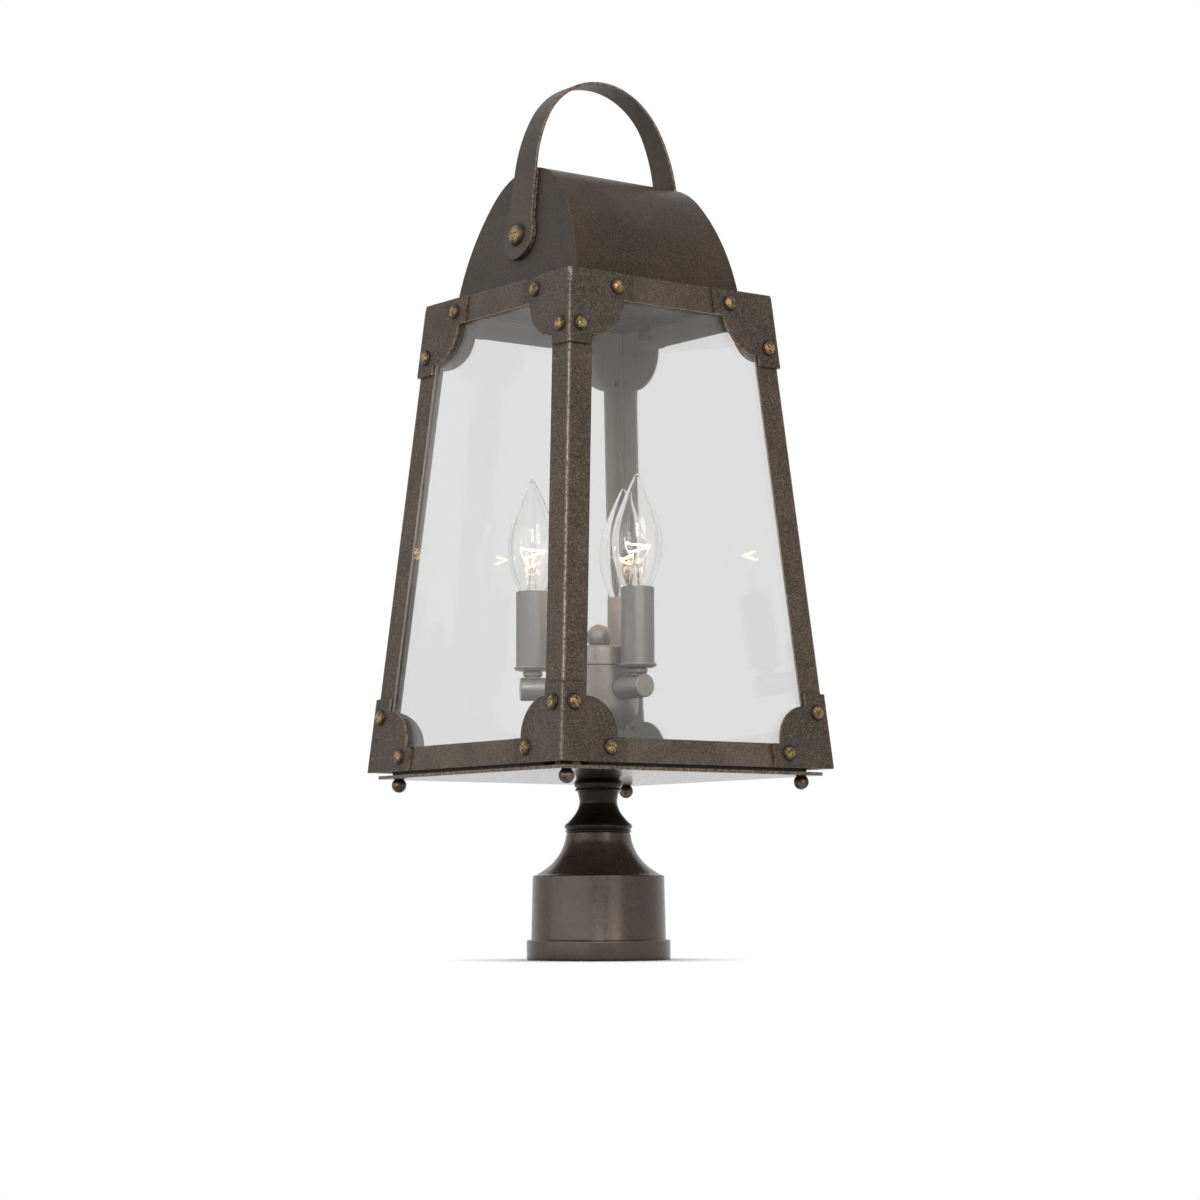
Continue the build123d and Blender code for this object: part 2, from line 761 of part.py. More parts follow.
def make_bulb_glass():
    outer = bulb_outline(0)
    inner = bulb_outline(bulb_wall)
    rims = [Line(outer[0] @ 1, inner[0] @ 1), Line(outer[-1] @ 1, inner[-1] @ 1)]
    return Pos(candle_offset, 0, 0) * turned(*outer, *inner, *rims)


def make_bulb_filament():
    """Glass mount with two leads and the filament bridged between them."""
    low = bulb_base_top_z
    mount = Pos(0, 0, low + mount_height / 2) * Cone(mount_foot_radius, mount_top_radius, mount_height)
    root = Vector(0, 0, low + lead_root_rise)
    ends = [Vector(0, side * lead_spread, low + lead_rise) for side in (-1, 1)]
    wires = [(root, ends[0]), (root, ends[1]), (ends[0], ends[1])]
    for start, end in wires:
        along = end - start
        mount += Plane(origin=start, z_dir=along) * extrude(Circle(lead_radius), along.length)
    for end in ends:
        mount += Pos(end) * Sphere(lead_joint_radius)
    return Pos(candle_offset, 0, 0) * mount


def save(name, shape):
    """Write one part, made of one solid or a list of separate solids."""
    solids = shape if isinstance(shape, (list, ShapeList)) else [shape]
    export_step(Compound(label=name, children=[Part() + solid for solid in solids]), f"parts/{name}.step")


os.makedirs("parts", exist_ok=True)

save("fitter", make_fitter())
save("neck", make_neck())
save("nipple", make_nipple())
save("nipple_nuts", make_nipple_nuts())
save("base_plate", make_base_plate())
save("base_gaskets", make_gaskets())
for number, place in enumerate(screw_places(), start=1):
    save(f"ball_screw_{number}", make_ball_screw(place))

post, top_rail, bottom_rail, glass = make_post(), make_top_rail(), make_bottom_rail(), make_glass()
for name, angle in corner_turns.items():
    save(f"post_{name}", turn(angle, post))
for name, angle in side_turns.items():
    save(f"top_rail_{name}", turn(angle, top_rail))
    save(f"bottom_rail_{name}", turn(angle, bottom_rail))
    save(f"glass_{name}", turn(angle, glass))
for name, top in (("top_gussets", True), ("bottom_gussets", False)):
    gusset = make_gusset(top)
    save(name, [turn(angle, gusset) for angle in corner_turns.values()])
save("gusset_rivets", make_gusset_rivets())
save("corner_tabs", make_corner_tabs())
save("glass_clips", make_glass_clips())

save("crown_plate", make_crown_plate())
save("roof_barrel", make_roof_barrel())
for name, plate in zip(("roof_end_front", "roof_end_rear"), make_roof_ends()):
    save(name, plate)
save("handle", make_handle())
save("handle_pads", make_handle_pads())
save("handle_rivets", make_handle_rivets())

save("stem_tube", make_stem())
save("cluster_cup", make_cup())
save("cluster_lid", make_lid())
save("finial_ball", make_finial())
for name, shape in (("arm_beads", make_bead()), ("drip_pans", make_drip_pan()), ("sockets", make_socket())):
    save(name, [turn(angle, shape) for angle in arm_turns()])
candle_parts = {
    "arm": make_arm(), "candle_sleeve": make_sleeve(),
    "bulb_glass": make_bulb_glass(), "bulb_base": make_bulb_base(), "bulb_filament": make_bulb_filament(),
}
for name, shape in candle_parts.items():
    for number, angle in enumerate(arm_turns(), start=1):
        save(f"{name}_{number}", turn(angle, shape))
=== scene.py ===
import json
import math

import bmesh
import bpy
from mathutils import Matrix, Vector

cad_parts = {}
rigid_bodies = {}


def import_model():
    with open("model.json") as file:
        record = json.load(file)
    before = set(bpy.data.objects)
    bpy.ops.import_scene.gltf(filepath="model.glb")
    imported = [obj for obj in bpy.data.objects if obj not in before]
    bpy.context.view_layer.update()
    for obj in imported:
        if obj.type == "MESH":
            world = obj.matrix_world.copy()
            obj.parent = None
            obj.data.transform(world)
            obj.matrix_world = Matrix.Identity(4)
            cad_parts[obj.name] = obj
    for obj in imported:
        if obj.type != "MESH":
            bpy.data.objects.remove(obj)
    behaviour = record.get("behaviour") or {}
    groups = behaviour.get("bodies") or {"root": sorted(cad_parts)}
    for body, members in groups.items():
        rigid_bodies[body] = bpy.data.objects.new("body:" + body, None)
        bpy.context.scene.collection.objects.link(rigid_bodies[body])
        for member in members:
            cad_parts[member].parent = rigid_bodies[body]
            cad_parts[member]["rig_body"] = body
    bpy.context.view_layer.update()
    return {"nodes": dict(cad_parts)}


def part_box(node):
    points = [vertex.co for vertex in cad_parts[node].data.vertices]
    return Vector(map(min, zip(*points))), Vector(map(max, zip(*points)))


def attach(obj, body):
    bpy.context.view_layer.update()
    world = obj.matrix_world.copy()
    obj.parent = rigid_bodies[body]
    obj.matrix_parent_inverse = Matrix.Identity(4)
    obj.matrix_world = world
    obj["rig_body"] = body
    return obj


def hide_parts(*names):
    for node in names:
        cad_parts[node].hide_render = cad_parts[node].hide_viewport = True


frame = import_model()
nodes = frame["nodes"]
MM = 0.001


# Driving sizes in millimetres, read from the CAD nodes where a node's box has them
def foot_of(node):
    """Height of a CAD node's foot in millimetres."""
    return round(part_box(node)[0].z / MM, 3)


def reach_of(node, axis):
    """How far a CAD node reaches along X, Y or Z, in millimetres."""
    return round(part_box(node)[1]["XYZ".index(axis)] / MM, 3)


FRAME_FOOT, FRAME_TOP = foot_of("bottom_gussets"), reach_of("top_gussets", "Z")
FRAME_HALF_BOTTOM, FRAME_HALF_TOP = reach_of("bottom_gussets", "X"), 81.0
BODY_LEAN = math.atan2(FRAME_HALF_BOTTOM - FRAME_HALF_TOP, FRAME_TOP - FRAME_FOOT)
END_LEAN = math.radians(7.63)
ROOF_HALF_WIDTH, ROOF_HALF_LENGTH = reach_of("roof_barrel", "X"), reach_of("roof_barrel", "Y")
SIDES = ("front", "right", "rear", "left")
CORNERS = ("front_right", "rear_right", "rear_left", "front_left")

# The hole for the threaded tube, and the dark seam where two turned pieces meet
TUBE_HOLE = 5.2
SEAM = 0.1


# Node trees
class Network:
    """Adds, sets and joins the nodes of one tree."""

    def __init__(self, tree):
        self.tree = tree

    def add(self, kind, inputs=None, **settings):
        """New node with its settings, whose inputs are values or the outputs of other nodes."""
        node = self.tree.nodes.new(kind)
        for key, value in settings.items():
            setattr(node, key, value)
        self.fill(node, inputs or {})
        return node

    def fill(self, node, inputs):
        """Sets or joins several inputs of a node."""
        for key, value in inputs.items():
            self.feed(node.inputs[key], value)

    def feed(self, socket, value):
        """Joins a socket to another node's output, or sets its value."""
        if isinstance(value, bpy.types.NodeSocket):
            self.tree.links.new(value, socket)
        elif value is not None:
            socket.default_value = value

    def calc(self, operation, a, b=None, c=None):
        """Output of a math node."""
        return self.add("ShaderNodeMath", {0: a, 1: b, 2: c}, operation=operation).outputs[0]

    def mix(self, share, a, b):
        """Mix of two colours."""
        return self.add("ShaderNodeMix", {0: share, 6: a, 7: b}, data_type="RGBA").outputs[2]

    def spread(self, value, low, high, start=0.0, end=1.0):
        """Value moved from one range to another, and held at its ends."""
        links = {0: value, 1: low, 2: high, 3: start, 4: end}
        return self.add("ShaderNodeMapRange", links).outputs[0]

    def join(self, x=None, y=None, z=None):
        """Vector from up to three numbers."""
        return self.add("ShaderNodeCombineXYZ", {0: x, 1: y, 2: z}).outputs[0]

    def split(self, vector):
        """The three numbers of a vector."""
        return self.add("ShaderNodeSeparateXYZ", {0: vector}).outputs

    def scaled(self, vector, factor):
        """Vector or colour times a number."""
        return self.add("ShaderNodeVectorMath", {0: vector, "Scale": factor}, operation="SCALE").outputs[0]

    def place(self):
        """Object coordinates."""
        return self.add("ShaderNodeTexCoord").outputs["Object"]

    def marked(self, name):
        """A mark that the mesh carries."""
        return self.add("ShaderNodeAttribute", attribute_name=name).outputs["Fac"]

    def openness(self, distance):
        """How open a spot lies within a distance, low in a seam and one in the open."""
        return self.add("ShaderNodeAmbientOcclusion", {"Distance": distance}, samples=6).outputs["AO"]

    def noise(self, place, size, detail=3.0, roughness=0.55):
        """Noise whose grain has a real size in metres, given as a value or by a node."""
        scale = self.calc("DIVIDE", 1.0, size) if isinstance(size, bpy.types.NodeSocket) else 1 / size
        links = {"Vector": place, "Scale": scale, "Detail": detail, "Roughness": roughness}
        return self.add("ShaderNodeTexNoise", links).outputs["Fac"]

    def bump(self, height, depth):
        """Normal of a relief whose depth is in metres."""
        return self.add("ShaderNodeBump", {"Height": height, "Distance": depth, "Strength": 1.0}).outputs[0]


COLOUR, NUMBER, WHOLE = "NodeSocketColor", "NodeSocketFloat", "NodeSocketInt"
GEOMETRY, PART, MATERIAL = "NodeSocketGeometry", "NodeSocketObject", "NodeSocketMaterial"


def group_sockets(tree, inputs, outputs):
    """Named inputs with their first values, and named outputs."""
    for name, kind, value in inputs:
        socket = tree.interface.new_socket(name, in_out="INPUT", socket_type=kind)
        if value is not None:
            socket.default_value = value
    for name, kind in outputs:
        tree.interface.new_socket(name, in_out="OUTPUT", socket_type=kind)


def rgb(red, green, blue):
    """Linear colour with full alpha."""
    return (red, green, blue, 1.0)


def make_patina_group():
    """Aged paint: slow clouds, fine light and dark grain, and painted shade that darkens the seams where
    pieces meet.
    """
    tree = bpy.data.node_groups.new("aged patina", "ShaderNodeTree")
    inputs = [
        ("Paint", COLOUR, rgb(0.05, 0.04, 0.03)), ("Cloud", COLOUR, rgb(0.08, 0.06, 0.05)),
        ("Speck", COLOUR, rgb(0.2, 0.15, 0.1)), ("Speck Amount", NUMBER, 0.5), ("Speck Size", NUMBER, 0.001),
        ("Cloud Size", NUMBER, 0.03), ("Roughness", NUMBER, 0.45), ("Seam Shade Reach", NUMBER, 0.003),
    ]
    group_sockets(tree, inputs, [("Color", COLOUR), ("Roughness", NUMBER), ("Height", NUMBER)])
    net = Network(tree)
    given = net.add("NodeGroupInput").outputs
    place = net.place()
    cloud = net.spread(net.noise(place, given["Cloud Size"], 4.0, 0.6), 0.36, 0.66)
    mottle_size = net.calc("MULTIPLY", given["Speck Size"], 4.5)
    mottle = net.spread(net.noise(place, mottle_size, 3.0, 0.6), 0.35, 0.65)
    grain = net.noise(place, given["Speck Size"], 2.0, 0.6)
    light = net.calc("MULTIPLY", net.spread(grain, 0.47, 0.66), net.spread(mottle, 0.0, 1.0, 0.45, 1.0))
    dark = net.calc("MULTIPLY", net.spread(grain, 0.5, 0.34), given["Speck Amount"])
    colour = net.mix(cloud, given["Paint"], given["Cloud"])
    colour = net.mix(net.calc("MULTIPLY", mottle, 0.3), colour, given["Cloud"])
    colour = net.mix(net.calc("MULTIPLY", light, given["Speck Amount"]), colour, given["Speck"])
    # Painted shade: darker wherever other surfaces lie close, in seams and crevices.
    seam_shade = net.spread(net.openness(given["Seam Shade Reach"]), 0.3, 0.95, 0.15, 1.0)
    speck_and_shade_level = net.calc("MULTIPLY", seam_shade, net.calc("SUBTRACT", 1.0, dark))
    rough = net.calc("ADD", given["Roughness"], net.spread(mottle, 0.0, 1.0, -0.04, 0.08))
    height = net.calc("ADD", net.calc("MULTIPLY", mottle, 0.4), net.calc("MULTIPLY", grain, 0.6))
    shaded = net.scaled(colour, speck_and_shade_level)
    net.add("NodeGroupOutput", {"Color": shaded, "Roughness": rough, "Height": height})
    return tree


def make_wear_group():
    """Masks for worn corners and bare sheet edges, broken up by noise."""
    tree = bpy.data.node_groups.new("edge wear", "ShaderNodeTree")
    inputs = [("Corner Wear", NUMBER, 0.8), ("Rim Wear", NUMBER, 0.6), ("Break Size", NUMBER, 0.002)]
    group_sockets(tree, inputs, [("Corners", NUMBER), ("Rims", NUMBER)])
    net = Network(tree)
    given = net.add("NodeGroupInput").outputs
    patches = net.spread(net.noise(net.place(), given["Break Size"], 4.0, 0.7), 0.38, 0.6)
    masks = {}
    for output, mark, amount in (("Corners", "corner", "Corner Wear"), ("Rims", "rim", "Rim Wear")):
        masks[output] = net.calc("MULTIPLY", net.calc("MULTIPLY", net.marked(mark), patches), given[amount])
    net.add("NodeGroupOutput", masks)
    return tree


patina = make_patina_group()
wear = make_wear_group()


# Materials, whose lengths are in metres
SPECK_SIZE = 0.00095
RIM_COPPER = rgb(0.34, 0.24, 0.155)
CORNER_BRIGHT = rgb(0.4, 0.345, 0.3)
GLASS_INDEX = 1.5


def new_material(name):
    """Empty material, the network of its tree and its shader."""
    material = bpy.data.materials.new(name)
    material.use_nodes = True
    return material, Network(material.node_tree), material.node_tree.nodes["Principled BSDF"]


def aged_metal(name, paint, cloud, speck, corner=0.5, rim=0.4, amount=0.4, roughness=0.45, metallic=0.5,
               shine=0.3, cloud_size=0.03, grain=0.00004, seam_shade_reach=0.003):
    """Aged bronze paint with worn, brighter edges and painted shade in its seams."""
    material, net, shader = new_material(name)
    looks = {
        "Paint": rgb(*paint), "Cloud": rgb(*cloud), "Speck": rgb(*speck), "Speck Amount": amount,
        "Speck Size": SPECK_SIZE, "Cloud Size": cloud_size, "Roughness": roughness, "Seam Shade Reach": seam_shade_reach,
    }
    coat = net.add("ShaderNodeGroup", looks, node_tree=patina).outputs
    worn = net.add("ShaderNodeGroup", {"Corner Wear": corner, "Rim Wear": rim}, node_tree=wear).outputs
    colour = net.mix(worn["Rims"], coat["Color"], RIM_COPPER)
    net.fill(shader, {
        "Base Color": net.mix(worn["Corners"], colour, CORNER_BRIGHT), "Roughness": coat["Roughness"],
        "Metallic": metallic, "Specular IOR Level": shine, "Normal": net.bump(coat["Height"], grain),
    })
    return material


def make_plate_paint(name, paint, cloud, gloss, coat_roughness):
    """Smooth bronze paint with a clear, even gloss on a flat plate."""
    material = aged_metal(
        name, paint, cloud, cloud, corner=0.35, rim=0.5, amount=0.05, roughness=0.34, shine=0.15,
        cloud_size=0.06, grain=0.0000005, seam_shade_reach=0.00002,
    )
    shader = material.node_tree.nodes["Principled BSDF"]
    shader.inputs["Coat Weight"].default_value = gloss
    shader.inputs["Coat Roughness"].default_value = coat_roughness
    return material


def make_brass(name, bright, dark, roughness, blotch, dents):
    """Antique brass, worn bright in blotches and slightly uneven; brown towards its foot and in the crevice
    round it, partly patina and partly painted shade.
    """
    material, net, shader = new_material(name)
    place = net.place()
    rubbed_and_lit = net.spread(net.noise(place, blotch, 3.0, 0.5), 0.4, 0.56, 0.12, 1.0)
    # Painted shade with patina: darker in the crevice round the head, and from the crest down to the foot of
    # the dome.
    rubbed_and_lit = net.calc("MULTIPLY", rubbed_and_lit, net.spread(net.openness(0.0015), 0.5, 0.98))
    rubbed_and_lit = net.calc("MULTIPLY", rubbed_and_lit, net.spread(net.marked("foot"), 0.5, 0.92, 1.0, 0.0))
    net.fill(shader, {
        "Base Color": net.mix(rubbed_and_lit, rgb(*dark), rgb(*bright)), "Metallic": 0.92,
        "Roughness": net.spread(rubbed_and_lit, 0.0, 1.0, roughness + 0.2, roughness),
        "Normal": net.bump(net.noise(place, 0.0024, 2.0), dents),
    })
    return material


def make_glass(name, tint, smear_size):
    """Clear glass with faint smears, which change only its roughness."""
    material, net, shader = new_material(name)
    net.fill(shader, {
        "Base Color": rgb(*tint), "IOR": GLASS_INDEX, "Transmission Weight": 1.0,
        "Roughness": net.spread(net.noise(net.place(), smear_size, 3.0), 0.45, 0.8, 0.0, 0.003),
    })
    return material


def make_plain(name, colour, other, roughness, metallic=0.0):
    """Even finish with a slight change of colour and a fine grain."""
    blotch, depth = 0.004, 0.00001
    material, net, shader = new_material(name)
    place = net.place()
    share = net.spread(net.noise(place, blotch), 0.35, 0.65)
    net.fill(shader, {
        "Base Color": net.mix(share, rgb(*colour), rgb(*other)), "Metallic": metallic,
        "Roughness": net.spread(share, 0.0, 1.0, roughness, roughness + 0.08),
        "Normal": net.bump(net.noise(place, blotch / 4), depth),
    })
    return material


def make_glow():
    """Tungsten coil, white hot with slightly cooler turns."""
    material, net, shader = new_material("glowing tungsten")
    flicker = net.spread(net.noise(net.place(), 0.002), 0.3, 0.7)
    net.fill(shader, {
        "Emission Color": net.mix(flicker, rgb(1.0, 0.5, 0.2), rgb(1.0, 0.7, 0.42)),
        "Emission Strength": 60.0, "Base Color": rgb(0.3, 0.25, 0.2),
    })
    return material


def make_lead_wire():
    """Plated wire that glows where it holds the filament."""
    glow_from, glow_full = 0.256, 0.265
    material, net, shader = new_material("bulb lead wires")
    place = net.place()
    heat = net.spread(net.split(place)[2], glow_from, glow_full)
    tarnish = net.spread(net.noise(place, 0.002), 0.35, 0.65)
    net.fill(shader, {
        "Base Color": net.mix(tarnish, rgb(0.7, 0.6, 0.5), rgb(0.85, 0.76, 0.66)),
        "Emission Color": net.mix(heat, rgb(0.0, 0.0, 0.0), rgb(1.0, 0.5, 0.2)),
        "Emission Strength": 4.0, "Metallic": 0.9, "Roughness": 0.3,
    })
    return material


aged_bronze = aged_metal(
    "aged bronze paint", (0.053, 0.042, 0.033), (0.088, 0.069, 0.053), (0.24, 0.18, 0.13),
    corner=0.6, rim=0.9, amount=0.3,
)
post_bronze = aged_metal(
    "aged bronze post paint", (0.042, 0.033, 0.026), (0.072, 0.055, 0.042), (0.27, 0.2, 0.14),
    corner=0.8, rim=0.7, amount=0.45,
)
gusset_bronze = aged_metal(
    "aged bronze gusset paint", (0.036, 0.029, 0.023), (0.062, 0.049, 0.039), (0.24, 0.18, 0.125),
    corner=0.34, rim=0.8, amount=0.42,
)
# Painted light: a lighter, bluish-grey copy of the bronze paint for the faces that look inwards, standing in
# for the light on them and the veil of the panes in front.
inside_lit_bronze = aged_metal(
    "bronze paint inside, painted light and veil", (0.158, 0.171, 0.183), (0.186, 0.2, 0.212), (0.22, 0.235, 0.245),
    corner=0.2, rim=0.3, amount=0.08, roughness=0.36, metallic=0.3, shine=0.4, grain=0.000001,
    seam_shade_reach=0.00002,
)
rail_bronze = aged_metal(
    "aged bronze rail paint", (0.06, 0.0475, 0.0375), (0.1, 0.078, 0.06), (0.26, 0.195, 0.14),
    corner=0.6, rim=0.9, amount=0.35,
)
roof_bronze = aged_metal(
    "aged bronze roof paint", (0.0212, 0.0148, 0.0097), (0.0445, 0.0306, 0.0193), (0.15, 0.103, 0.061),
    corner=0.25, rim=0.5, amount=0.35, roughness=0.42, cloud_size=0.06,
)
end_bronze = aged_metal(
    "aged bronze roof end paint", (0.031, 0.026, 0.022), (0.045, 0.037, 0.031), (0.13, 0.1, 0.075),
    corner=0.25, rim=0.5, amount=0.3, cloud_size=0.05,
)
strap_bronze = aged_metal(
    "aged bronze strap", (0.046, 0.038, 0.032), (0.062, 0.05, 0.04), (0.16, 0.12, 0.085),
    corner=0.4, rim=0.6, amount=0.25, cloud_size=0.045,
)
dark_bronze = aged_metal(
    "dark bronze casting paint", (0.03, 0.021, 0.0148), (0.054, 0.037, 0.0255), (0.12, 0.083, 0.056),
    corner=0.3, rim=0.2, amount=0.1, roughness=0.25, metallic=0.35, shine=0.6, grain=0.00001,
)
# Painted shade: a near-black copy of the casting paint for the neck, which sits in the shade under the base
# plate.
neck_shaded_bronze = aged_metal(
    "near-black neck casting paint, painted shade", (0.006, 0.0042, 0.003), (0.0155, 0.0098, 0.0062), (0.03, 0.02, 0.014),
    corner=0.2, rim=0.1, amount=0.1, roughness=0.15, metallic=0.1, shine=0.22, cloud_size=0.014,
    grain=0.000003,
)
cluster_bronze = aged_metal(
    "satin bronze cluster paint", (0.22, 0.198, 0.176), (0.27, 0.242, 0.215), (0.33, 0.29, 0.25),
    corner=0.3, rim=0.3, amount=0.2, roughness=0.34, shine=0.4, cloud_size=0.02, grain=0.000002,
)
base_gloss = make_plate_paint(
    "glossed base plate", (0.03, 0.024, 0.02), (0.042, 0.034, 0.028), gloss=0.58, coat_roughness=0.12,
)
ceiling_gloss = make_plate_paint(
    "glossed crown plate", (0.036, 0.031, 0.027), (0.043, 0.037, 0.033), gloss=0.0, coat_roughness=0.15,
)
rivet_brass = make_brass(
    "antique brass rivets", (0.3, 0.203, 0.095), (0.04, 0.028, 0.017),
    roughness=0.24, blotch=0.0022, dents=0.0008,
)
screw_bronze = make_brass(
    "aged ball screws", (0.13, 0.1, 0.07), (0.035, 0.028, 0.022), roughness=0.3, blotch=0.004, dents=0.0001,
)
pane_glass = make_glass("clear pane glass", (0.85, 0.85, 0.85), smear_size=0.05)
bulb_clear = make_glass("clear bulb glass", (0.985, 0.985, 0.98), smear_size=0.02)
ground_edge = make_plain("ground glass edge", (0.68, 0.79, 0.78), (0.76, 0.85, 0.84), 0.4)
candle_satin = make_plain("satin candle covers", (0.14, 0.134, 0.126), (0.17, 0.163, 0.154), 0.38, 0.2)
socket_black = make_plain("black socket resin", (0.012, 0.012, 0.012), (0.02, 0.02, 0.02), 0.45)
# Painted shade: near-black gasket strips fill the gap under the cage and stand in for the shadow in that gap.
gasket_gap_shade = make_plain("black foam gasket, painted gap shade", (0.0015, 0.0015, 0.0015), (0.003, 0.003, 0.003), 0.9)
thread_zinc = make_plain("zinc-plated threads", (0.42, 0.42, 0.4), (0.55, 0.54, 0.5), 0.3, 0.95)
base_brass = make_plain("bulb screw base", (0.55, 0.42, 0.2), (0.62, 0.5, 0.28), 0.28, 0.95)
wire_metal = make_lead_wire()
filament_glow = make_glow()


# Mesh tools
def placed(name, data):
    """New object in the scene."""
    item = bpy.data.objects.new(name, data)
    bpy.context.scene.collection.objects.link(item)
    return item


def new_piece(name, mesh, material, body, replaced=()):
    """Object for a finished mesh, riding on its body and standing for CAD nodes."""
    piece = placed(name, mesh)
    mesh.materials.clear()
    mesh.materials.append(material)
    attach(piece, body)
    if replaced:
        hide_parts(*replaced)
    return piece


def let_light_through(piece):
    """Clear glass lets the lamps light what stands behind it."""
    piece.visible_shadow = False


def shade(mesh, sharp=32):
    """Smooth shading that stays crisp where faces meet at more than an angle in degrees."""
    mesh.polygons.foreach_set("use_smooth", [True] * len(mesh.polygons))
    mesh.set_sharp_from_angle(angle=math.radians(sharp))


def mesh_from(bm, name, sharp=32):
    """Shaded mesh from a bmesh, which is used up."""
    mesh = bpy.data.meshes.new(name)
    bm.to_mesh(mesh)
    bm.free()
    shade(mesh, sharp)
    return mesh


def leaning(angle):
    """Outward directions of four sides that lean inwards by an angle."""
    level, rise = math.cos(angle), math.sin(angle)
    return [Vector(d) for d in ((level, 0, rise), (-level, 0, rise), (0, level, rise), (0, -level, rise))]


def own_direction(place, facing):
    """Outward direction of the side that a place lies on."""
    return max(facing, key=lambda direction: direction.x * place.x + direction.y * place.y)


# How straight a face looks its side's way when it is no cut edge, and when it looks inwards
FLAT_ON, INWARDS = 0.9, -0.6


def mark_rims(bm, facing):
    """Marks faces on the cut edges of a sheet, which don't look the way that their side does."""
    rim = bm.faces.layers.float.new("rim")
    bm.normal_update()
    for face in bm.faces:
        along = abs(face.normal.dot(own_direction(face.calc_center_median(), facing)))
        face[rim] = 1.0 if along < FLAT_ON else 0.0


def fold_edges(bm):
    """Outer folds, which run up the corners of the frame."""
    off_corner, least_length, least_turn = 0.05 * MM, 10 * MM, 1.2
    folds = []
    for edge in bm.edges:
        ends = [v.co for v in edge.verts]
        on_corner = all(abs(abs(p.x) - abs(p.y)) < off_corner for p in ends)
        upright = abs(ends[0].z - ends[1].z) > least_length
        if on_corner and upright and edge.is_convex and edge.calc_face_angle(0.0) > least_turn:
            folds.append(edge)
    return folds


def soften(bm, edges, size, segments, wear_level, crest_level=None):
    """Rounds some edges and marks the new faces with how much they wear, most on the crest of a fold."""
    corner = bm.faces.layers.float["corner"]
    made = bmesh.ops.bevel(
        bm, geom=edges, offset=size, segments=segments, profile=0.55, affect="EDGES", clamp_overlap=True,
    )
    for face in made["faces"]:
        face.normal_update()
        on_crest = abs(abs(face.normal.x) - abs(face.normal.y)) < 0.4
        face[corner] = crest_level if crest_level and on_crest else wear_level


def merged(node):
    """Mesh of a CAD node with its doubles merged and its flat faces joined."""
    bm = bmesh.new()
    bm.from_mesh(nodes[node].data)
    bmesh.ops.remove_doubles(bm, verts=bm.verts, dist=0.002 * MM)
    bmesh.ops.dissolve_limit(bm, angle_limit=math.radians(0.6), verts=bm.verts, edges=bm.edges)
    return bm


def paint_inside(mesh, material):
    """Second material on the faces that look towards the axis, painted lighter as if lit."""
    mesh.materials.append(material)
    for face in mesh.polygons:
        outwards = Vector((face.center.x, face.center.y, 0.0)).normalized()
        face.material_index = 1 if face.normal.dot(outwards) < INWARDS else 0


def worn_copy(node, material, facing=None, edge=0.3 * MM, fold=0.0, inside=None):
    """A CAD sheet piece with its folds and edges softened and marked for wear."""
    bm = merged(node)
    if facing:
        mark_rims(bm, facing)
    bm.faces.layers.float.new("corner")
    if fold:
        soften(bm, fold_edges(bm), fold, 5, 0.25, 1.0)
    limit = math.radians(35)
    sharp = [e for e in bm.edges if len(e.link_faces) == 2 and e.calc_face_angle(0.0) > limit]
    soften(bm, sharp, edge, 2, 0.35)
    mesh = mesh_from(bm, node, 44)
    piece = new_piece(f"{node}-worn", mesh, material, nodes[node]["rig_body"], [node])
    if inside:
        paint_inside(mesh, inside)
    piece.modifiers.new("even faces", "WEIGHTED_NORMAL").keep_sharp = True


def arc(centre, radius, start, end, steps=6):
    """Points on an arc in degrees, as (radius, height) in millimetres."""
    turns = [math.radians(start + (end - start) * i / steps) for i in range(steps + 1)]
    return [(centre[0] + radius * math.cos(t), centre[1] + radius * math.sin(t)) for t in turns]


def raised(points, height):
    """Outline points given as (radius, rise), moved up to a height."""
    return [(radius, height + rise) for radius, rise in points]


def flowing(points, steps=8):
    """Smooth curve through a few chosen points."""
    spots = [Vector(p) for p in points]
    line = [spots[0], *spots, spots[-1]]
    curve = []
    for a, b, c, d in zip(line, line[1:], line[2:], line[3:]):
        for k in range(steps):
            t = k / steps
            bend = (2 * a - 5 * b + 4 * c - d) * t ** 2 + (3 * b - a - 3 * c + d) * t ** 3
            curve.append((2 * b + (c - a) * t + bend) / 2)
    return [*curve, spots[-1]]


ON_AXIS = 1e-6


def lathe(outline, place=Matrix.Identity(4), sides_count=96, wobble=None):
    """Closed turned mesh from an outline of (radius, height) in millimetres round Z."""
    bm = bmesh.new()
    rings = []
    for radius, height in outline:
        if radius < ON_AXIS:
            rings.append([bm.verts.new((0, 0, height * MM))])
            continue
        ring = []
        for i in range(sides_count):
            angle = math.tau * i / sides_count
            reach = (radius + (wobble(angle, height) if wobble else 0.0)) * MM
            ring.append(bm.verts.new((reach * math.cos(angle), reach * math.sin(angle), height * MM)))
        rings.append(ring)
    closed = outline[0][0] > ON_AXIS and outline[-1][0] > ON_AXIS
    pairs = list(zip(rings, rings[1:])) + ([(rings[-1], rings[0])] if closed else [])
    for low, high in pairs:
        for i in range(sides_count):
            j = (i + 1) % sides_count
            around_face = [low[i % len(low)], low[j % len(low)], high[j % len(high)], high[i % len(high)]]
            unique = list(dict.fromkeys(around_face))
            if len(unique) > 2:
                bm.faces.new(unique)
    bmesh.ops.recalc_face_normals(bm, faces=bm.faces)
    bm.transform(place)
    return bm


def joined(meshes):
    """One bmesh from several."""
    whole = bmesh.new()
    for bm in meshes:
        part = bpy.data.meshes.new("part")
        bm.to_mesh(part)
        bm.free()
        whole.from_mesh(part)
        bpy.data.meshes.remove(part)
    return whole


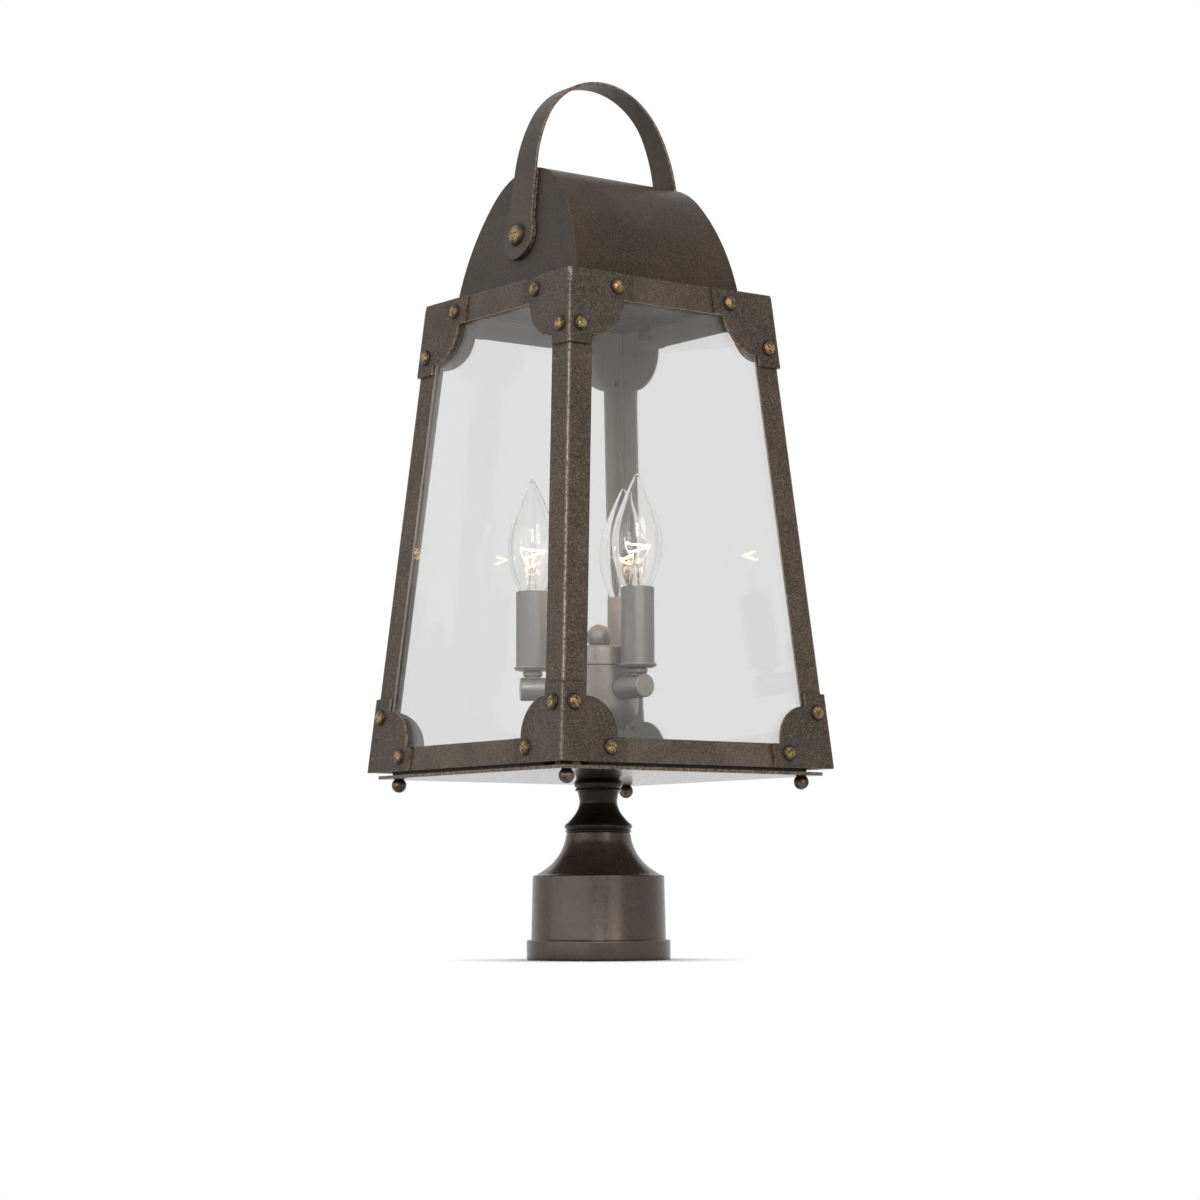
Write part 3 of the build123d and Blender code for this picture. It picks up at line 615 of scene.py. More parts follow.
def turned_piece(name, outline, material, body, replaced, place=Matrix.Identity(4), count=96, sharp=32):
    """Piece made on the lathe."""
    mesh = mesh_from(lathe(outline, place, count), name, sharp)
    return new_piece(name, mesh, material, body, replaced)


def tube_along(points, radius, sides_count=8):
    """Round wire with closed ends along points in metres."""
    bm = bmesh.new()
    rows = []
    across = None
    for i, point in enumerate(points):
        ahead = (points[min(i + 1, len(points) - 1)] - points[max(i - 1, 0)]).normalized()
        if across is None:
            across = ahead.orthogonal().normalized()
        across = (across - ahead * across.dot(ahead)).normalized()
        other = ahead.cross(across)
        turns = [math.tau * k / sides_count for k in range(sides_count)]
        spokes = [across * math.cos(t) + other * math.sin(t) for t in turns]
        rows.append([bm.verts.new(point + radius * spoke) for spoke in spokes])
    close_tube(bm, rows)
    return bm


def close_tube(bm, rows):
    """Faces between rows of vertices that follow each other, and over both ends."""
    count = len(rows[0])
    for row, next_row in zip(rows, rows[1:]):
        for k in range(count):
            j = (k + 1) % count
            bm.faces.new((row[k], row[j], next_row[j], next_row[k]))
    bm.faces.new(rows[0][::-1])
    bm.faces.new(rows[-1])
    bmesh.ops.recalc_face_normals(bm, faces=bm.faces)


# Geometry Nodes
def geometry_tree(name, inputs):
    """Tree with named inputs, its network and what it is given."""
    tree = bpy.data.node_groups.new(name, "GeometryNodeTree")
    group_sockets(tree, [("Geometry", GEOMETRY, None), *inputs], [("Geometry", GEOMETRY)])
    net = Network(tree)
    return tree, net, net.add("NodeGroupInput").outputs


def finish_tree(net, given, geometry):
    """Ends a tree in real geometry with its finish."""
    real = net.add("GeometryNodeRealizeInstances", {0: geometry})
    finish = net.add("GeometryNodeSetMaterial", {"Geometry": real.outputs[0], "Material": given["Finish"]})
    net.add("NodeGroupOutput", {0: finish.outputs[0]})


def finish_with_copies(net, given, points, turn, size=None):
    """Ends a tree in copies of its part on points."""
    part = net.add("GeometryNodeObjectInfo", {"Object": given["Part"]}, transform_space="ORIGINAL")
    links = {"Points": points, "Instance": part.outputs["Geometry"], "Rotation": turn, "Scale": size}
    finish_tree(net, given, net.add("GeometryNodeInstanceOnPoints", links).outputs[0])


def grown(start_mesh, tree, values, name):
    """Plain mesh that a Geometry Nodes tree makes from a start mesh."""
    seed_object = placed(name, start_mesh)
    modifier = seed_object.modifiers.new("growth", "NODES")
    modifier.node_group = tree
    for item in tree.interface.items_tree:
        if item.item_type == "SOCKET" and item.in_out == "INPUT" and item.name in values:
            modifier[item.identifier] = values[item.name]
    seed_object.update_tag()
    bpy.context.view_layer.update()
    ready = seed_object.evaluated_get(bpy.context.evaluated_depsgraph_get())
    mesh = bpy.data.meshes.new_from_object(ready)
    seed_object.modifiers.clear()
    bpy.data.objects.remove(seed_object)
    return mesh


def piece_of_copies(name, bm, start_mesh, tree, values, material, body, replaced, sharp=32):
    """Piece that a tree makes of copies of one part."""
    part_name = "part of " + name
    part = placed(part_name, mesh_from(bm, part_name, sharp))
    mesh = grown(start_mesh, tree, {"Part": part, "Finish": material, **values}, name)
    bpy.data.objects.remove(part)
    new_piece(name, mesh, material, body, replaced)


def make_copies_tree():
    """Copies of one small part on marked points, each turned and sized a little by itself."""
    inputs = [
        ("Part", PART, None), ("Size Spread", NUMBER, 0.02), ("Tilt Spread", NUMBER, 0.0),
        ("Seed", WHOLE, 7), ("Finish", MATERIAL, None),
    ]
    tree, net, given = geometry_tree("copies on marked points", inputs)
    facing = net.add("GeometryNodeInputNamedAttribute", {"Name": "facing"}, data_type="FLOAT_VECTOR")
    aligned = net.add("FunctionNodeAlignRotationToVector", {"Vector": facing.outputs[0]}, axis="Z")
    most = given["Tilt Spread"]
    least = net.calc("MULTIPLY", most, -1.0)
    tilts = {0: net.join(least, least, -math.pi), 1: net.join(most, most, math.pi), "Seed": given["Seed"]}
    tilt = net.add("FunctionNodeRandomValue", tilts, data_type="FLOAT_VECTOR")
    spun = net.add("FunctionNodeEulerToRotation", {0: tilt.outputs[0]})
    turns = {0: aligned.outputs[0], 1: spun.outputs[0]}
    turned = net.add("FunctionNodeRotateRotation", turns, rotation_space="LOCAL")
    sizes = {
        2: net.calc("SUBTRACT", 1.0, given["Size Spread"]), 3: net.calc("ADD", 1.0, given["Size Spread"]),
        "Seed": net.calc("ADD", given["Seed"], 1.0),
    }
    size = net.add("FunctionNodeRandomValue", sizes, data_type="FLOAT")
    finish_with_copies(net, given, given["Geometry"], turned.outputs[0], size.outputs[1])
    return tree


def make_round_tree():
    """Copies of one part at even turns round the upright axis."""
    inputs = [("Part", PART, None), ("Count", WHOLE, 3), ("Finish", MATERIAL, None)]
    tree, net, given = geometry_tree("copies round the axis", inputs)
    points = net.add("GeometryNodeMeshLine", {"Count": given["Count"], "Offset": (0.0, 0.0, 0.0)})
    step = net.calc("DIVIDE", math.tau, given["Count"])
    angle = net.calc("MULTIPLY", net.add("GeometryNodeInputIndex").outputs[0], step)
    finish_with_copies(net, given, points.outputs[0], net.join(z=angle))
    return tree


ROOF_SIZES = {
    "Crown Radius": 49.4 * MM, "Flank Radius": 119.5 * MM, "Flank Lean": math.radians(7.5),
    "Base Half Width": ROOF_HALF_WIDTH * MM, "Half Length": ROOF_HALF_LENGTH * MM, "End Lean": END_LEAN,
    "Base Height": FRAME_TOP * MM, "Sheet": 1.2 * MM,
}


def make_vault_tree():
    """Roof sheet: a grid bent to flank and crown arcs, cut back with its height and thickened."""
    sizes = [(name, NUMBER, size) for name, size in ROOF_SIZES.items()]
    tree, net, given = geometry_tree("vaulted sheet", [*sizes, ("Finish", MATERIAL, None)])
    grid = net.add("GeometryNodeMeshGrid", {"Size X": 2.0, "Size Y": 2.0, "Vertices X": 97, "Vertices Y": 33})
    spot = net.split(net.add("GeometryNodeInputPosition").outputs[0])
    crown, flank, lean = given["Crown Radius"], given["Flank Radius"], given["Flank Lean"]
    radii = net.calc("SUBTRACT", flank, crown)
    inset = net.calc("MULTIPLY", net.calc("COSINE", lean), -1.0)
    flank_x = net.calc("MULTIPLY_ADD", flank, inset, given["Base Half Width"])
    drop = net.calc("MULTIPLY", flank, net.calc("SINE", lean))
    flank_z = net.calc("SUBTRACT", given["Base Height"], drop)
    change = net.calc("ARCSINE", net.calc("DIVIDE", net.calc("MULTIPLY", flank_x, -1.0), radii))
    crown_z = net.calc("MULTIPLY_ADD", radii, net.calc("COSINE", change), flank_z)
    whole = net.calc("SUBTRACT", math.pi / 2, lean)
    angle = net.calc("MULTIPLY", net.calc("ABSOLUTE", spot[0]), whole)
    on_flank = net.calc("GREATER_THAN", angle, change)
    radius = net.calc("MULTIPLY_ADD", on_flank, radii, crown)
    centre_x = net.calc("MULTIPLY", on_flank, flank_x)
    centre_z = net.calc("MULTIPLY_ADD", on_flank, net.calc("SUBTRACT", flank_z, crown_z), crown_z)
    across = net.calc("MULTIPLY_ADD", radius, net.calc("SINE", angle), centre_x)
    x = net.calc("MULTIPLY", across, net.calc("SIGN", spot[0]))
    z = net.calc("MULTIPLY_ADD", radius, net.calc("COSINE", angle), centre_z)
    rise = net.calc("SUBTRACT", z, given["Base Height"])
    cut_back = net.calc("MULTIPLY", rise, net.calc("TANGENT", given["End Lean"]))
    y = net.calc("MULTIPLY", spot[1], net.calc("SUBTRACT", given["Half Length"], cut_back))
    bent = net.add("GeometryNodeSetPosition", {"Geometry": grid.outputs[0], "Position": net.join(x, y, z)})
    normal = net.add("GeometryNodeInputNormal").outputs[0]
    inwards = net.split(net.scaled(normal, net.calc("MULTIPLY", given["Sheet"], -1.0)))
    level = net.join(x=inwards[0], z=inwards[2])
    wall = {"Mesh": bent.outputs[0], "Offset": level, "Offset Scale": 1.0, "Individual": False}
    inner = net.add("GeometryNodeFlipFaces", {0: net.add("GeometryNodeExtrudeMesh", wall).outputs[0]})
    both = net.add("GeometryNodeJoinGeometry")
    for layer in (inner, bent):
        net.feed(both.inputs[0], layer.outputs[0])
    welded = net.add("GeometryNodeMergeByDistance", {"Geometry": both.outputs[0], "Distance": 0.00001})
    finish_tree(net, given, welded.outputs[0])
    return tree


copies_tree = make_copies_tree()
round_tree = make_round_tree()


# Sheet-metal frame, glass and plates
PANE_ARRIS = 0.9 * MM
VAULT_RIM_WEAR = 0.12


def make_frame_sheets():
    """Posts, rails, gussets, panes, plates, roof ends and the small sheet pieces."""
    walls = leaning(BODY_LEAN)
    roof_faces = leaning(END_LEAN)
    level = [Vector((0.0, 0.0, 1.0))]
    for name in CORNERS:
        worn_copy(f"post_{name}", post_bronze, walls, 0.3 * MM, 1.8 * MM, inside_lit_bronze)
    for name in SIDES:
        worn_copy(f"top_rail_{name}", aged_bronze, walls, inside=inside_lit_bronze)
        worn_copy(f"bottom_rail_{name}", rail_bronze, walls, inside=inside_lit_bronze)
        make_pane(name, walls)
    for name in ("top_gussets", "bottom_gussets"):
        worn_copy(name, gusset_bronze, walls, 0.35 * MM, 2.0 * MM, inside_lit_bronze)
    worn_copy("corner_tabs", aged_bronze, None, 0.2 * MM)
    worn_copy("glass_clips", aged_bronze, None, 0.15 * MM)
    worn_copy("base_gaskets", gasket_gap_shade, None, 0.2 * MM)
    worn_copy("base_plate", base_gloss, level)
    worn_copy("crown_plate", ceiling_gloss, level, 0.2 * MM)
    worn_copy("roof_end_front", end_bronze, roof_faces, 0.2 * MM)
    worn_copy("roof_end_rear", end_bronze, roof_faces, 0.2 * MM)
    worn_copy("handle_pads", strap_bronze, roof_faces, 0.2 * MM)


def make_pane(name, walls):
    """Flat pane, clear on its faces, with ground narrow edges and arrises."""
    node = f"glass_{name}"
    bm = merged(node)
    bmesh.ops.bevel(bm, geom=bm.edges[:], offset=PANE_ARRIS, segments=1, profile=0.5, affect="EDGES")
    bm.normal_update()
    own = own_direction(sum((v.co for v in bm.verts), Vector()), walls)
    for face in bm.faces:
        face.material_index = 0 if abs(face.normal.dot(own)) > FLAT_ON else 1
    piece = new_piece(f"pane_{name}", mesh_from(bm, node), pane_glass, "cage", [node])
    piece.data.materials.append(ground_edge)
    let_light_through(piece)


def make_barrel():
    """Vaulted roof sheet, slightly worn on its cut ends."""
    values = {**ROOF_SIZES, "Finish": roof_bronze}
    mesh = grown(bpy.data.meshes.new("start"), make_vault_tree(), values, "roof vault")
    bm = bmesh.new()
    bm.from_mesh(mesh)
    bmesh.ops.recalc_face_normals(bm, faces=bm.faces)
    rim = bm.faces.layers.float.new("rim")
    for face in bm.faces:
        face[rim] = VAULT_RIM_WEAR if abs(face.normal.y) > 0.7 else 0.0
    bm.to_mesh(mesh)
    bm.free()
    shade(mesh, 40)
    new_piece("roof_vault", mesh, roof_bronze, "cage", ["roof_barrel"])


# Handle, with its rises counted from the top of the frame
STRAP_SHEET = 2.0
PAD_SHEET = 1.2
STRAP_EYE = 16.0
STRAP_FOOT_HALF, STRAP_MID_HALF, STRAP_TOP_HALF = 14.0, 8.9, 8.2
STRAP_RIVET_RISE, STRAP_BEND_RISE, STRAP_MID_RISE, STRAP_TAPER_END = 36.0, 81.8, 124.0, 185.3
STRAP_SHOULDER_RADIUS, STRAP_CROWN_RADIUS = 104.0, 52.5
STRAP_RUBBED_OFF = 0.01


def strap_half_width(rise):
    """Half-width of the strap: a round eye at the rivet, then two tapers."""
    if rise < STRAP_MID_RISE:
        share = (rise - STRAP_RIVET_RISE) / (STRAP_MID_RISE - STRAP_RIVET_RISE)
        leg = STRAP_FOOT_HALF + (STRAP_MID_HALF - STRAP_FOOT_HALF) * share
    else:
        share = (rise - STRAP_MID_RISE) / (STRAP_TAPER_END - STRAP_MID_RISE)
        leg = STRAP_MID_HALF + (STRAP_TOP_HALF - STRAP_MID_HALF) * share
    below = STRAP_RIVET_RISE - rise
    eye = math.sqrt(max(STRAP_EYE ** 2 - below ** 2, 0.0))
    return eye if below > 0 else max(leg, eye)


def strap_line():
    """Places and outward directions along the strap's outer face in side view, from foot to foot."""
    out = ROOF_HALF_LENGTH + (PAD_SHEET + STRAP_SHEET) / math.cos(END_LEAN)
    level = Vector((math.cos(END_LEAN), math.sin(END_LEAN)))
    eye_steps, leg_steps, bend_steps = 22, 8, 24

    def on_leg(rise):
        """Place on the straight leg at a rise."""
        return Vector((out - rise * math.tan(END_LEAN), rise))

    def bend(centre, radius, start, end, first=0):
        """Places and directions round an arc."""
        turns = [start + (end - start) * i / bend_steps for i in range(first, bend_steps + 1)]
        directions = [Vector((math.cos(turn), math.sin(turn))) for turn in turns]
        return [(centre + radius * direction, direction) for direction in directions]

    shoulder = on_leg(STRAP_BEND_RISE) - STRAP_SHOULDER_RADIUS * level
    difference = STRAP_SHOULDER_RADIUS - STRAP_CROWN_RADIUS
    change = math.acos(-shoulder.x / difference)
    crown = Vector((0.0, shoulder.y + difference * math.sin(change)))
    foot = STRAP_RIVET_RISE - STRAP_EYE * math.cos(END_LEAN) + 0.05
    eye_top = STRAP_RIVET_RISE + STRAP_EYE
    shares = [1 - math.cos(math.pi / 2 * i / eye_steps) for i in range(eye_steps)]
    rises = [foot + (eye_top - foot) * share for share in shares]
    rises += [eye_top + (STRAP_BEND_RISE - eye_top) * i / leg_steps for i in range(leg_steps)]
    half = [(on_leg(rise), level) for rise in rises]
    half += bend(shoulder, STRAP_SHOULDER_RADIUS, END_LEAN, change)
    half += bend(crown, STRAP_CROWN_RADIUS, change, math.pi / 2, first=1)
    mirrored = [(Vector((-p.x, p.y)), Vector((-n.x, n.y))) for p, n in reversed(half[:-1])]
    return half + mirrored


def make_handle():
    """Tapering strap: one section with softened corners at each step of its line."""
    bm = bmesh.new()
    soft, least_half = 0.35, 0.6
    rows = []
    for point, normal in strap_line():
        wide = max(strap_half_width(point.y), least_half)
        section = [
            (-wide, -soft), (-wide + soft, 0.0), (wide - soft, 0.0), (wide, -soft),
            (wide, soft - STRAP_SHEET), (wide - soft, -STRAP_SHEET),
            (-wide + soft, -STRAP_SHEET), (-wide, soft - STRAP_SHEET),
        ]
        row = []
        for x, depth in section:
            spot = point + normal * (depth - STRAP_RUBBED_OFF)
            row.append(bm.verts.new((x * MM, spot.x * MM, (FRAME_TOP + spot.y) * MM)))
        rows.append(row)
    close_tube(bm, rows)
    rim = bm.faces.layers.float.new("rim")
    corner = bm.faces.layers.float.new("corner")
    for face in bm.faces:
        narrow = min(e.calc_length() for e in face.edges if len(e.link_faces) == 2)
        across = abs(face.normal.x)
        face[rim] = 1.0 if across > 0.85 else 0.0
        face[corner] = 1.0 if 0.4 < across <= 0.85 and narrow < 0.6 * MM else 0.0
    mesh = mesh_from(bm, "handle_strap", 50)
    piece = new_piece("handle_strap", mesh, strap_bronze, "cage", ["handle"])
    piece.modifiers.new("even faces", "WEIGHTED_NORMAL").keep_sharp = True


# Rivets
RIVET_DOME_SHARE = 0.95


def rivet_head(radius, height, shank):
    """Hand-closed dome with a thin lip on a stub of its shank, marked from crest to foot."""
    steps = 9
    turns = [math.pi / 2 * i / steps for i in range(steps)]
    outline = [
        *((radius * math.sin(t), height * math.cos(t) ** 0.9) for t in turns), (radius, 0.18 * height),
        (radius, 0.02), (radius * 0.9, -0.05), (shank, -0.05), (shank, -0.4), (0.0, -0.4),
    ]
    bm = lathe(outline, sides_count=28)
    foot = bm.verts.layers.float.new("foot")
    for vert in bm.verts:
        vert[foot] = min(math.hypot(vert.co.x, vert.co.y) / (radius * MM), 1.0)
    return bm


def islands(node):
    """Vertices of each separate solid of a CAD node."""
    bm = merged(node)
    left = set(bm.verts)
    groups = []
    while left:
        stack = [left.pop()]
        group = []
        while stack:
            vert = stack.pop()
            group.append(vert.co.copy())
            for edge in vert.link_edges:
                other = edge.other_vert(vert)
                if other in left:
                    left.remove(other)
                    stack.append(other)
        groups.append(group)
    bm.free()
    return groups


def rivet_points(node, lean, head_height):
    """Mesh of one marked point under the head of each rivet in a CAD node."""
    spots, facings = [], []
    for group in islands(node):
        facing = own_direction(sum(group, Vector()), leaning(lean))
        top = max(facing.dot(p) for p in group)
        rim = [p for p in group if facing.dot(p) > top - head_height * 1.02]
        centre = sum(rim, Vector()) / len(rim)
        spots.append(centre + facing * (top - head_height - facing.dot(centre)))
        facings.append(facing)
    order = sorted(range(len(spots)), key=lambda i: tuple(round(c, 4) for c in spots[i]))
    mesh = bpy.data.meshes.new("rivet places")
    mesh.from_pydata([spots[i] for i in order], [], [])
    marks = mesh.attributes.new("facing", "FLOAT_VECTOR", "POINT")
    marks.data.foreach_set("vector", [c for i in order for c in facings[i]])
    return mesh


def make_rivets(node, name, radius, height, shank, lean, seed):
    """Rivet heads on the points where a CAD node has its rivets, all in millimetres."""
    head = rivet_head(radius, RIVET_DOME_SHARE * height, shank)
    points = rivet_points(node, lean, height * MM)
    values = {"Size Spread": 0.025, "Tilt Spread": 0.05, "Seed": seed}
    piece_of_copies(name, head, points, copies_tree, values, rivet_brass, "cage", [node], 50)


# Turned castings under the plate
def make_fitter():
    """Foot ring, tapering cylinder and bell shoulder round a stepped socket."""
    socket, socket_depth, stop, throat = 38.5, 50.0, 33.0, 17.2
    ring, ring_top, ring_round = reach_of("fitter", "X"), 13.0, 1.3
    body_foot, body_top, shoulder, shoulder_round = 43.1, 42.2, 54.0, 1.2
    bell = [
        (41.0, 0.0), (38.3, 1.2), (32.0, 5.6), (28.1, 9.5), (25.2, 13.3), (23.2, 17.1), (21.6, 21.6),
        (20.5, 27.0),
    ]
    top = reach_of("fitter", "Z")
    ceiling, cone_top = top - 3.3, top - 8.2
    outline = [
        (socket, 0.0), *arc((ring - ring_round, ring_round), ring_round, -90, 0),
        *arc((ring - ring_round, ring_top - ring_round), ring_round, 0, 90),
        (body_foot + 0.8, ring_top), (body_foot + 0.15, ring_top + 0.15), (body_foot, ring_top + 0.7),
        *arc((body_top - shoulder_round, shoulder - shoulder_round), shoulder_round, 0, 90),
        *flowing(raised(bell, shoulder), 6)[1:], (20.2, top), (TUBE_HOLE, top), (TUBE_HOLE, ceiling),
        (throat, ceiling), (throat, cone_top), (stop, shoulder), (stop, socket_depth), (socket, socket_depth),
    ]
    turned_piece("post_fitter", outline, dark_bronze, "base", ["fitter"], count=128)


def make_neck():
    """Doubled collar bead, waist and doubled top bead, drawn up from the neck's foot."""
    foot = foot_of("neck")
    top = reach_of("neck", "Z") - foot
    thin_bead, collar_bead, lip, top_bead, top_radius = 0.75, 2.1, 0.7, 3.3, 14.2
    waist = [(19.9, 6.3), (17.6, 8.7), (14.6, 12.5), (12.8, 16.3), (12.15, 19.6), (12.7, 23.7), (13.4, 26.3)]
    outline = raised([
        (TUBE_HOLE, 0.0), (20.4, 0.0), *arc((20.5, 0.8), thin_bead, -90, 55), (20.75, 1.75),
        *arc((19.7, 3.9), collar_bead, -58, 72, 12), (20.1, 6.1), *flowing(waist, 6)[1:], (13.8, 26.4),
        *arc((14.3, 27.2), lip, -80, 50), (14.4, 28.2), *arc((12.3, 31.1), top_bead, -50, 50, 12),
        (top_radius, top - 1.2), (top_radius, top), (TUBE_HOLE, top),
    ], foot)
    turned_piece("fitter_neck", outline, neck_shaded_bronze, "base", ["neck"], count=112)


def make_ball_screws():
    """Ball-headed screws, each with a low collar under the plate and a plain shaft."""
    plate = foot_of("base_plate")
    length = reach_of("ball_screw_1", "Z") - plate
    ball_drop, ball, collar, shaft, chamfer = 3.88, 4.8, 3.1, 1.5, 0.4
    outline = raised([
        *arc((0.0, -ball_drop), ball, -90, 46, 18), (collar, -0.3), (collar, -0.1), (collar - 0.2, 0.0),
        (shaft, 0.0), (shaft, length - chamfer), (shaft - chamfer, length), (0.0, length),
    ], plate)
    for node in (f"ball_screw_{number}" for number in range(1, 5)):
        low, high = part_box(node)
        centre = Matrix.Translation(((low.x + high.x) / 2, (low.y + high.y) / 2, 0.0))
        name = node.replace("ball", "ball_headed")
        turned_piece(name, outline, screw_bronze, node, [node], centre, 40)


# Candle cluster
CANDLE_COUNT = 3
CANDLE_OFFSET = 41.0
CUP_RADIUS = reach_of("cluster_cup", "X")
CUP_WALL = 1.5
CUP_BORE = CUP_RADIUS - CUP_WALL


def make_cluster():
    """Stem, bowl, flat cap and ball finial, each drawn up from its own foot."""
    stem_radius, stem_top = 8.0, foot_of("cluster_cup") - foot_of("stem_tube")
    stem = [
        (TUBE_HOLE, 0.0), (9.4, 0.0), (9.6, 0.5), (9.6, 1.7), (stem_radius, 2.5), (stem_radius, stem_top),
        (TUBE_HOLE, stem_top),
    ]
    bowl_top, top = 14.0, reach_of("cluster_cup", "Z") - foot_of("cluster_cup")
    bowl = [(12.0, 0.0), (17.2, 2.8), (21.3, 6.3), (24.2, 10.2), (CUP_RADIUS, bowl_top)]
    cup = [
        (TUBE_HOLE, 0.0), *flowing(bowl), (CUP_RADIUS, top - 0.6), (CUP_RADIUS - 0.3, top - 0.2),
        (CUP_BORE, top - SEAM), (CUP_BORE, bowl_top), (19.8, 7.8), (12.0, CUP_WALL), (TUBE_HOLE, CUP_WALL),
    ]
    edge, hole, thick = 2.0, 2.55, reach_of("cluster_lid", "Z") - foot_of("cluster_lid")
    cap = [
        (CUP_BORE, SEAM), (CUP_RADIUS - 0.3, SEAM), (CUP_RADIUS, 0.4),
        *arc((CUP_RADIUS - edge, thick - edge), edge, 0, 90, 8),
        (hole, thick), (hole, thick - CUP_WALL), (CUP_BORE, thick - CUP_WALL),
    ]
    stud, stud_top, ball = 2.5, 6.0, 8.15
    finial = [
        (0.0, 0.0), (stud, 0.0), (stud, stud_top), (3.8, stud_top), *arc((0.0, 13.2), ball, -62, 90, 26),
    ]
    pieces = [
        ("cluster_bowl", cup, "cluster_cup", 96), ("cluster_cap", cap, "cluster_lid", 96),
        ("cap_finial", finial, "finial_ball", 56), ("cluster_stem", stem, "stem_tube", 56),
    ]
    for name, outline, node, count in pieces:
        outline = raised(outline, foot_of(node))
        turned_piece(name, outline, cluster_bronze, "base", [node], count=count)


def each_candle(node):
    """Names of the CAD nodes that repeat for each candle."""
    return [f"{node}_{number}" for number in range(1, CANDLE_COUNT + 1)]


def make_candles():
    """Arms with their beads, drip pans, covers and lamp sockets."""
    radius, wall, rounding, end = 7.5, 1.2, 0.9, reach_of("arm_1", "X")
    arm = [
        (radius - wall, CUP_BORE), (radius, CUP_BORE),
        *arc((radius - rounding, end - rounding), rounding, 0, 90),
        (0.0, end), (0.0, end - wall), (radius - wall, end - wall),
    ]
    pan_foot, foot = foot_of("drip_pans"), foot_of("candle_sleeve_1")
    bead = [(0.0, -5.2), (4.8, -5.2), *arc((4.35, -2.1), 2.05, -75, 75, 10), (4.8, 0.0), (0.0, 0.0)]
    pan = [
        (3.5, 0.0), (9.8, 0.0), (11.4, 0.5), (12.1, 1.5), (12.1, 2.3), (11.8, 2.4), (11.5, 1.9), (10.9, 1.95),
        (3.5, foot - pan_foot),
    ]
    side, bore, top = 10.7, 10.0, reach_of("candle_sleeve_1", "Z") - foot
    cover = [
        (bore, 0.0), (side - 0.2, 0.0), (side, 0.3), (side, top - 0.6), (side - 0.1, top - 0.15),
        (side - 0.35, top), (bore + 0.1, top - 0.1), (bore, top - 0.4),
    ]
    shell, well, well_foot, rim = 8.3, 6.2, 22.5, reach_of("sockets", "Z") - foot
    socket = [
        (0.0, SEAM), (shell, SEAM), (shell, rim - 0.6), (shell - 0.4, rim), (well + 0.3, rim),
        (well, rim - 0.4), (well, well_foot), (0.0, well_foot),
    ]
    upright = Matrix.Translation((CANDLE_OFFSET * MM, 0.0, 0.0))
    arm_z = reach_of("arm_1", "Z") - radius
    level = Matrix.Translation((0.0, 0.0, arm_z * MM)) @ Matrix.Rotation(math.radians(90), 4, "Y")
    bronze = (cluster_bronze, "cluster_bronze")
    sleeves = each_candle("candle_sleeve")
    pieces = [
        ("candle_arms", arm, level, 56, *bronze, each_candle("arm")),
        ("candle_beads", raised(bead, pan_foot), upright, 48, *bronze, ["arm_beads"]),
        ("candle_pans", raised(pan, pan_foot), upright, 64, *bronze, ["drip_pans"]),
        ("candle_covers", raised(cover, foot), upright, 72, candle_satin, "candle_cover", sleeves),
        ("lamp_sockets", raised(socket, foot), upright, 48, socket_black, "socket_resin", ["sockets"]),
    ]
    for name, outline, place, count, material, slot, replaced in pieces:
        bm, start = lathe(outline, place, count), bpy.data.meshes.new("start")
        values = {"Count": CANDLE_COUNT}
        piece_of_copies(name, bm, start, round_tree, values, material, "base", replaced)


# Bulbs
BULB_FOOT = foot_of("bulb_glass_1")
BULB_WALL = 0.7
MOUNT_TURNS = {1: -25.0, 2: -18.0, 3: 75.0}


def bulb_outline():
    """Torpedo glass: outer wall up from the neck, and the inner wall back down."""
    wall = [
        (5.6, 0.0), (8.6, 4.9), (12.8, 14.1), (15.2, 23.4), (16.2, 32.9), (15.4, 41.9), (13.3, 49.6),
        (10.2, 57.8), (6.9, 65.6), (3.6, 72.8), (1.5, 76.8), (0.7, 77.75), (0.0, 77.9),
    ]
    inner_end, inner_tip = BULB_FOOT + 76.1, BULB_FOOT + 76.5
    outer = flowing(raised(wall, BULB_FOOT), 5)
    inner = [(max(radius - BULB_WALL, 0.0), height) for radius, height in outer if height < inner_end]
    return [*outer, (0.0, inner_tip), *reversed(inner)]


def make_bulbs():
    """Glass, screw base and lit mount of each bulb."""
    for number in range(1, CANDLE_COUNT + 1):
        turn = Matrix.Rotation(math.tau / CANDLE_COUNT * (number - 1), 4, "Z")
        place = turn @ Matrix.Translation((CANDLE_OFFSET * MM, 0.0, 0.0))
        body = f"bulb_{number}"
        envelope = turned_piece(
            f"bulb_envelope_{number}", bulb_outline(), bulb_clear, body,
            [f"bulb_glass_{number}"], place, 80, 60,
        )
        let_light_through(envelope)
        make_bulb_base(number, place, body)
        make_bulb_mount(number, place, body)


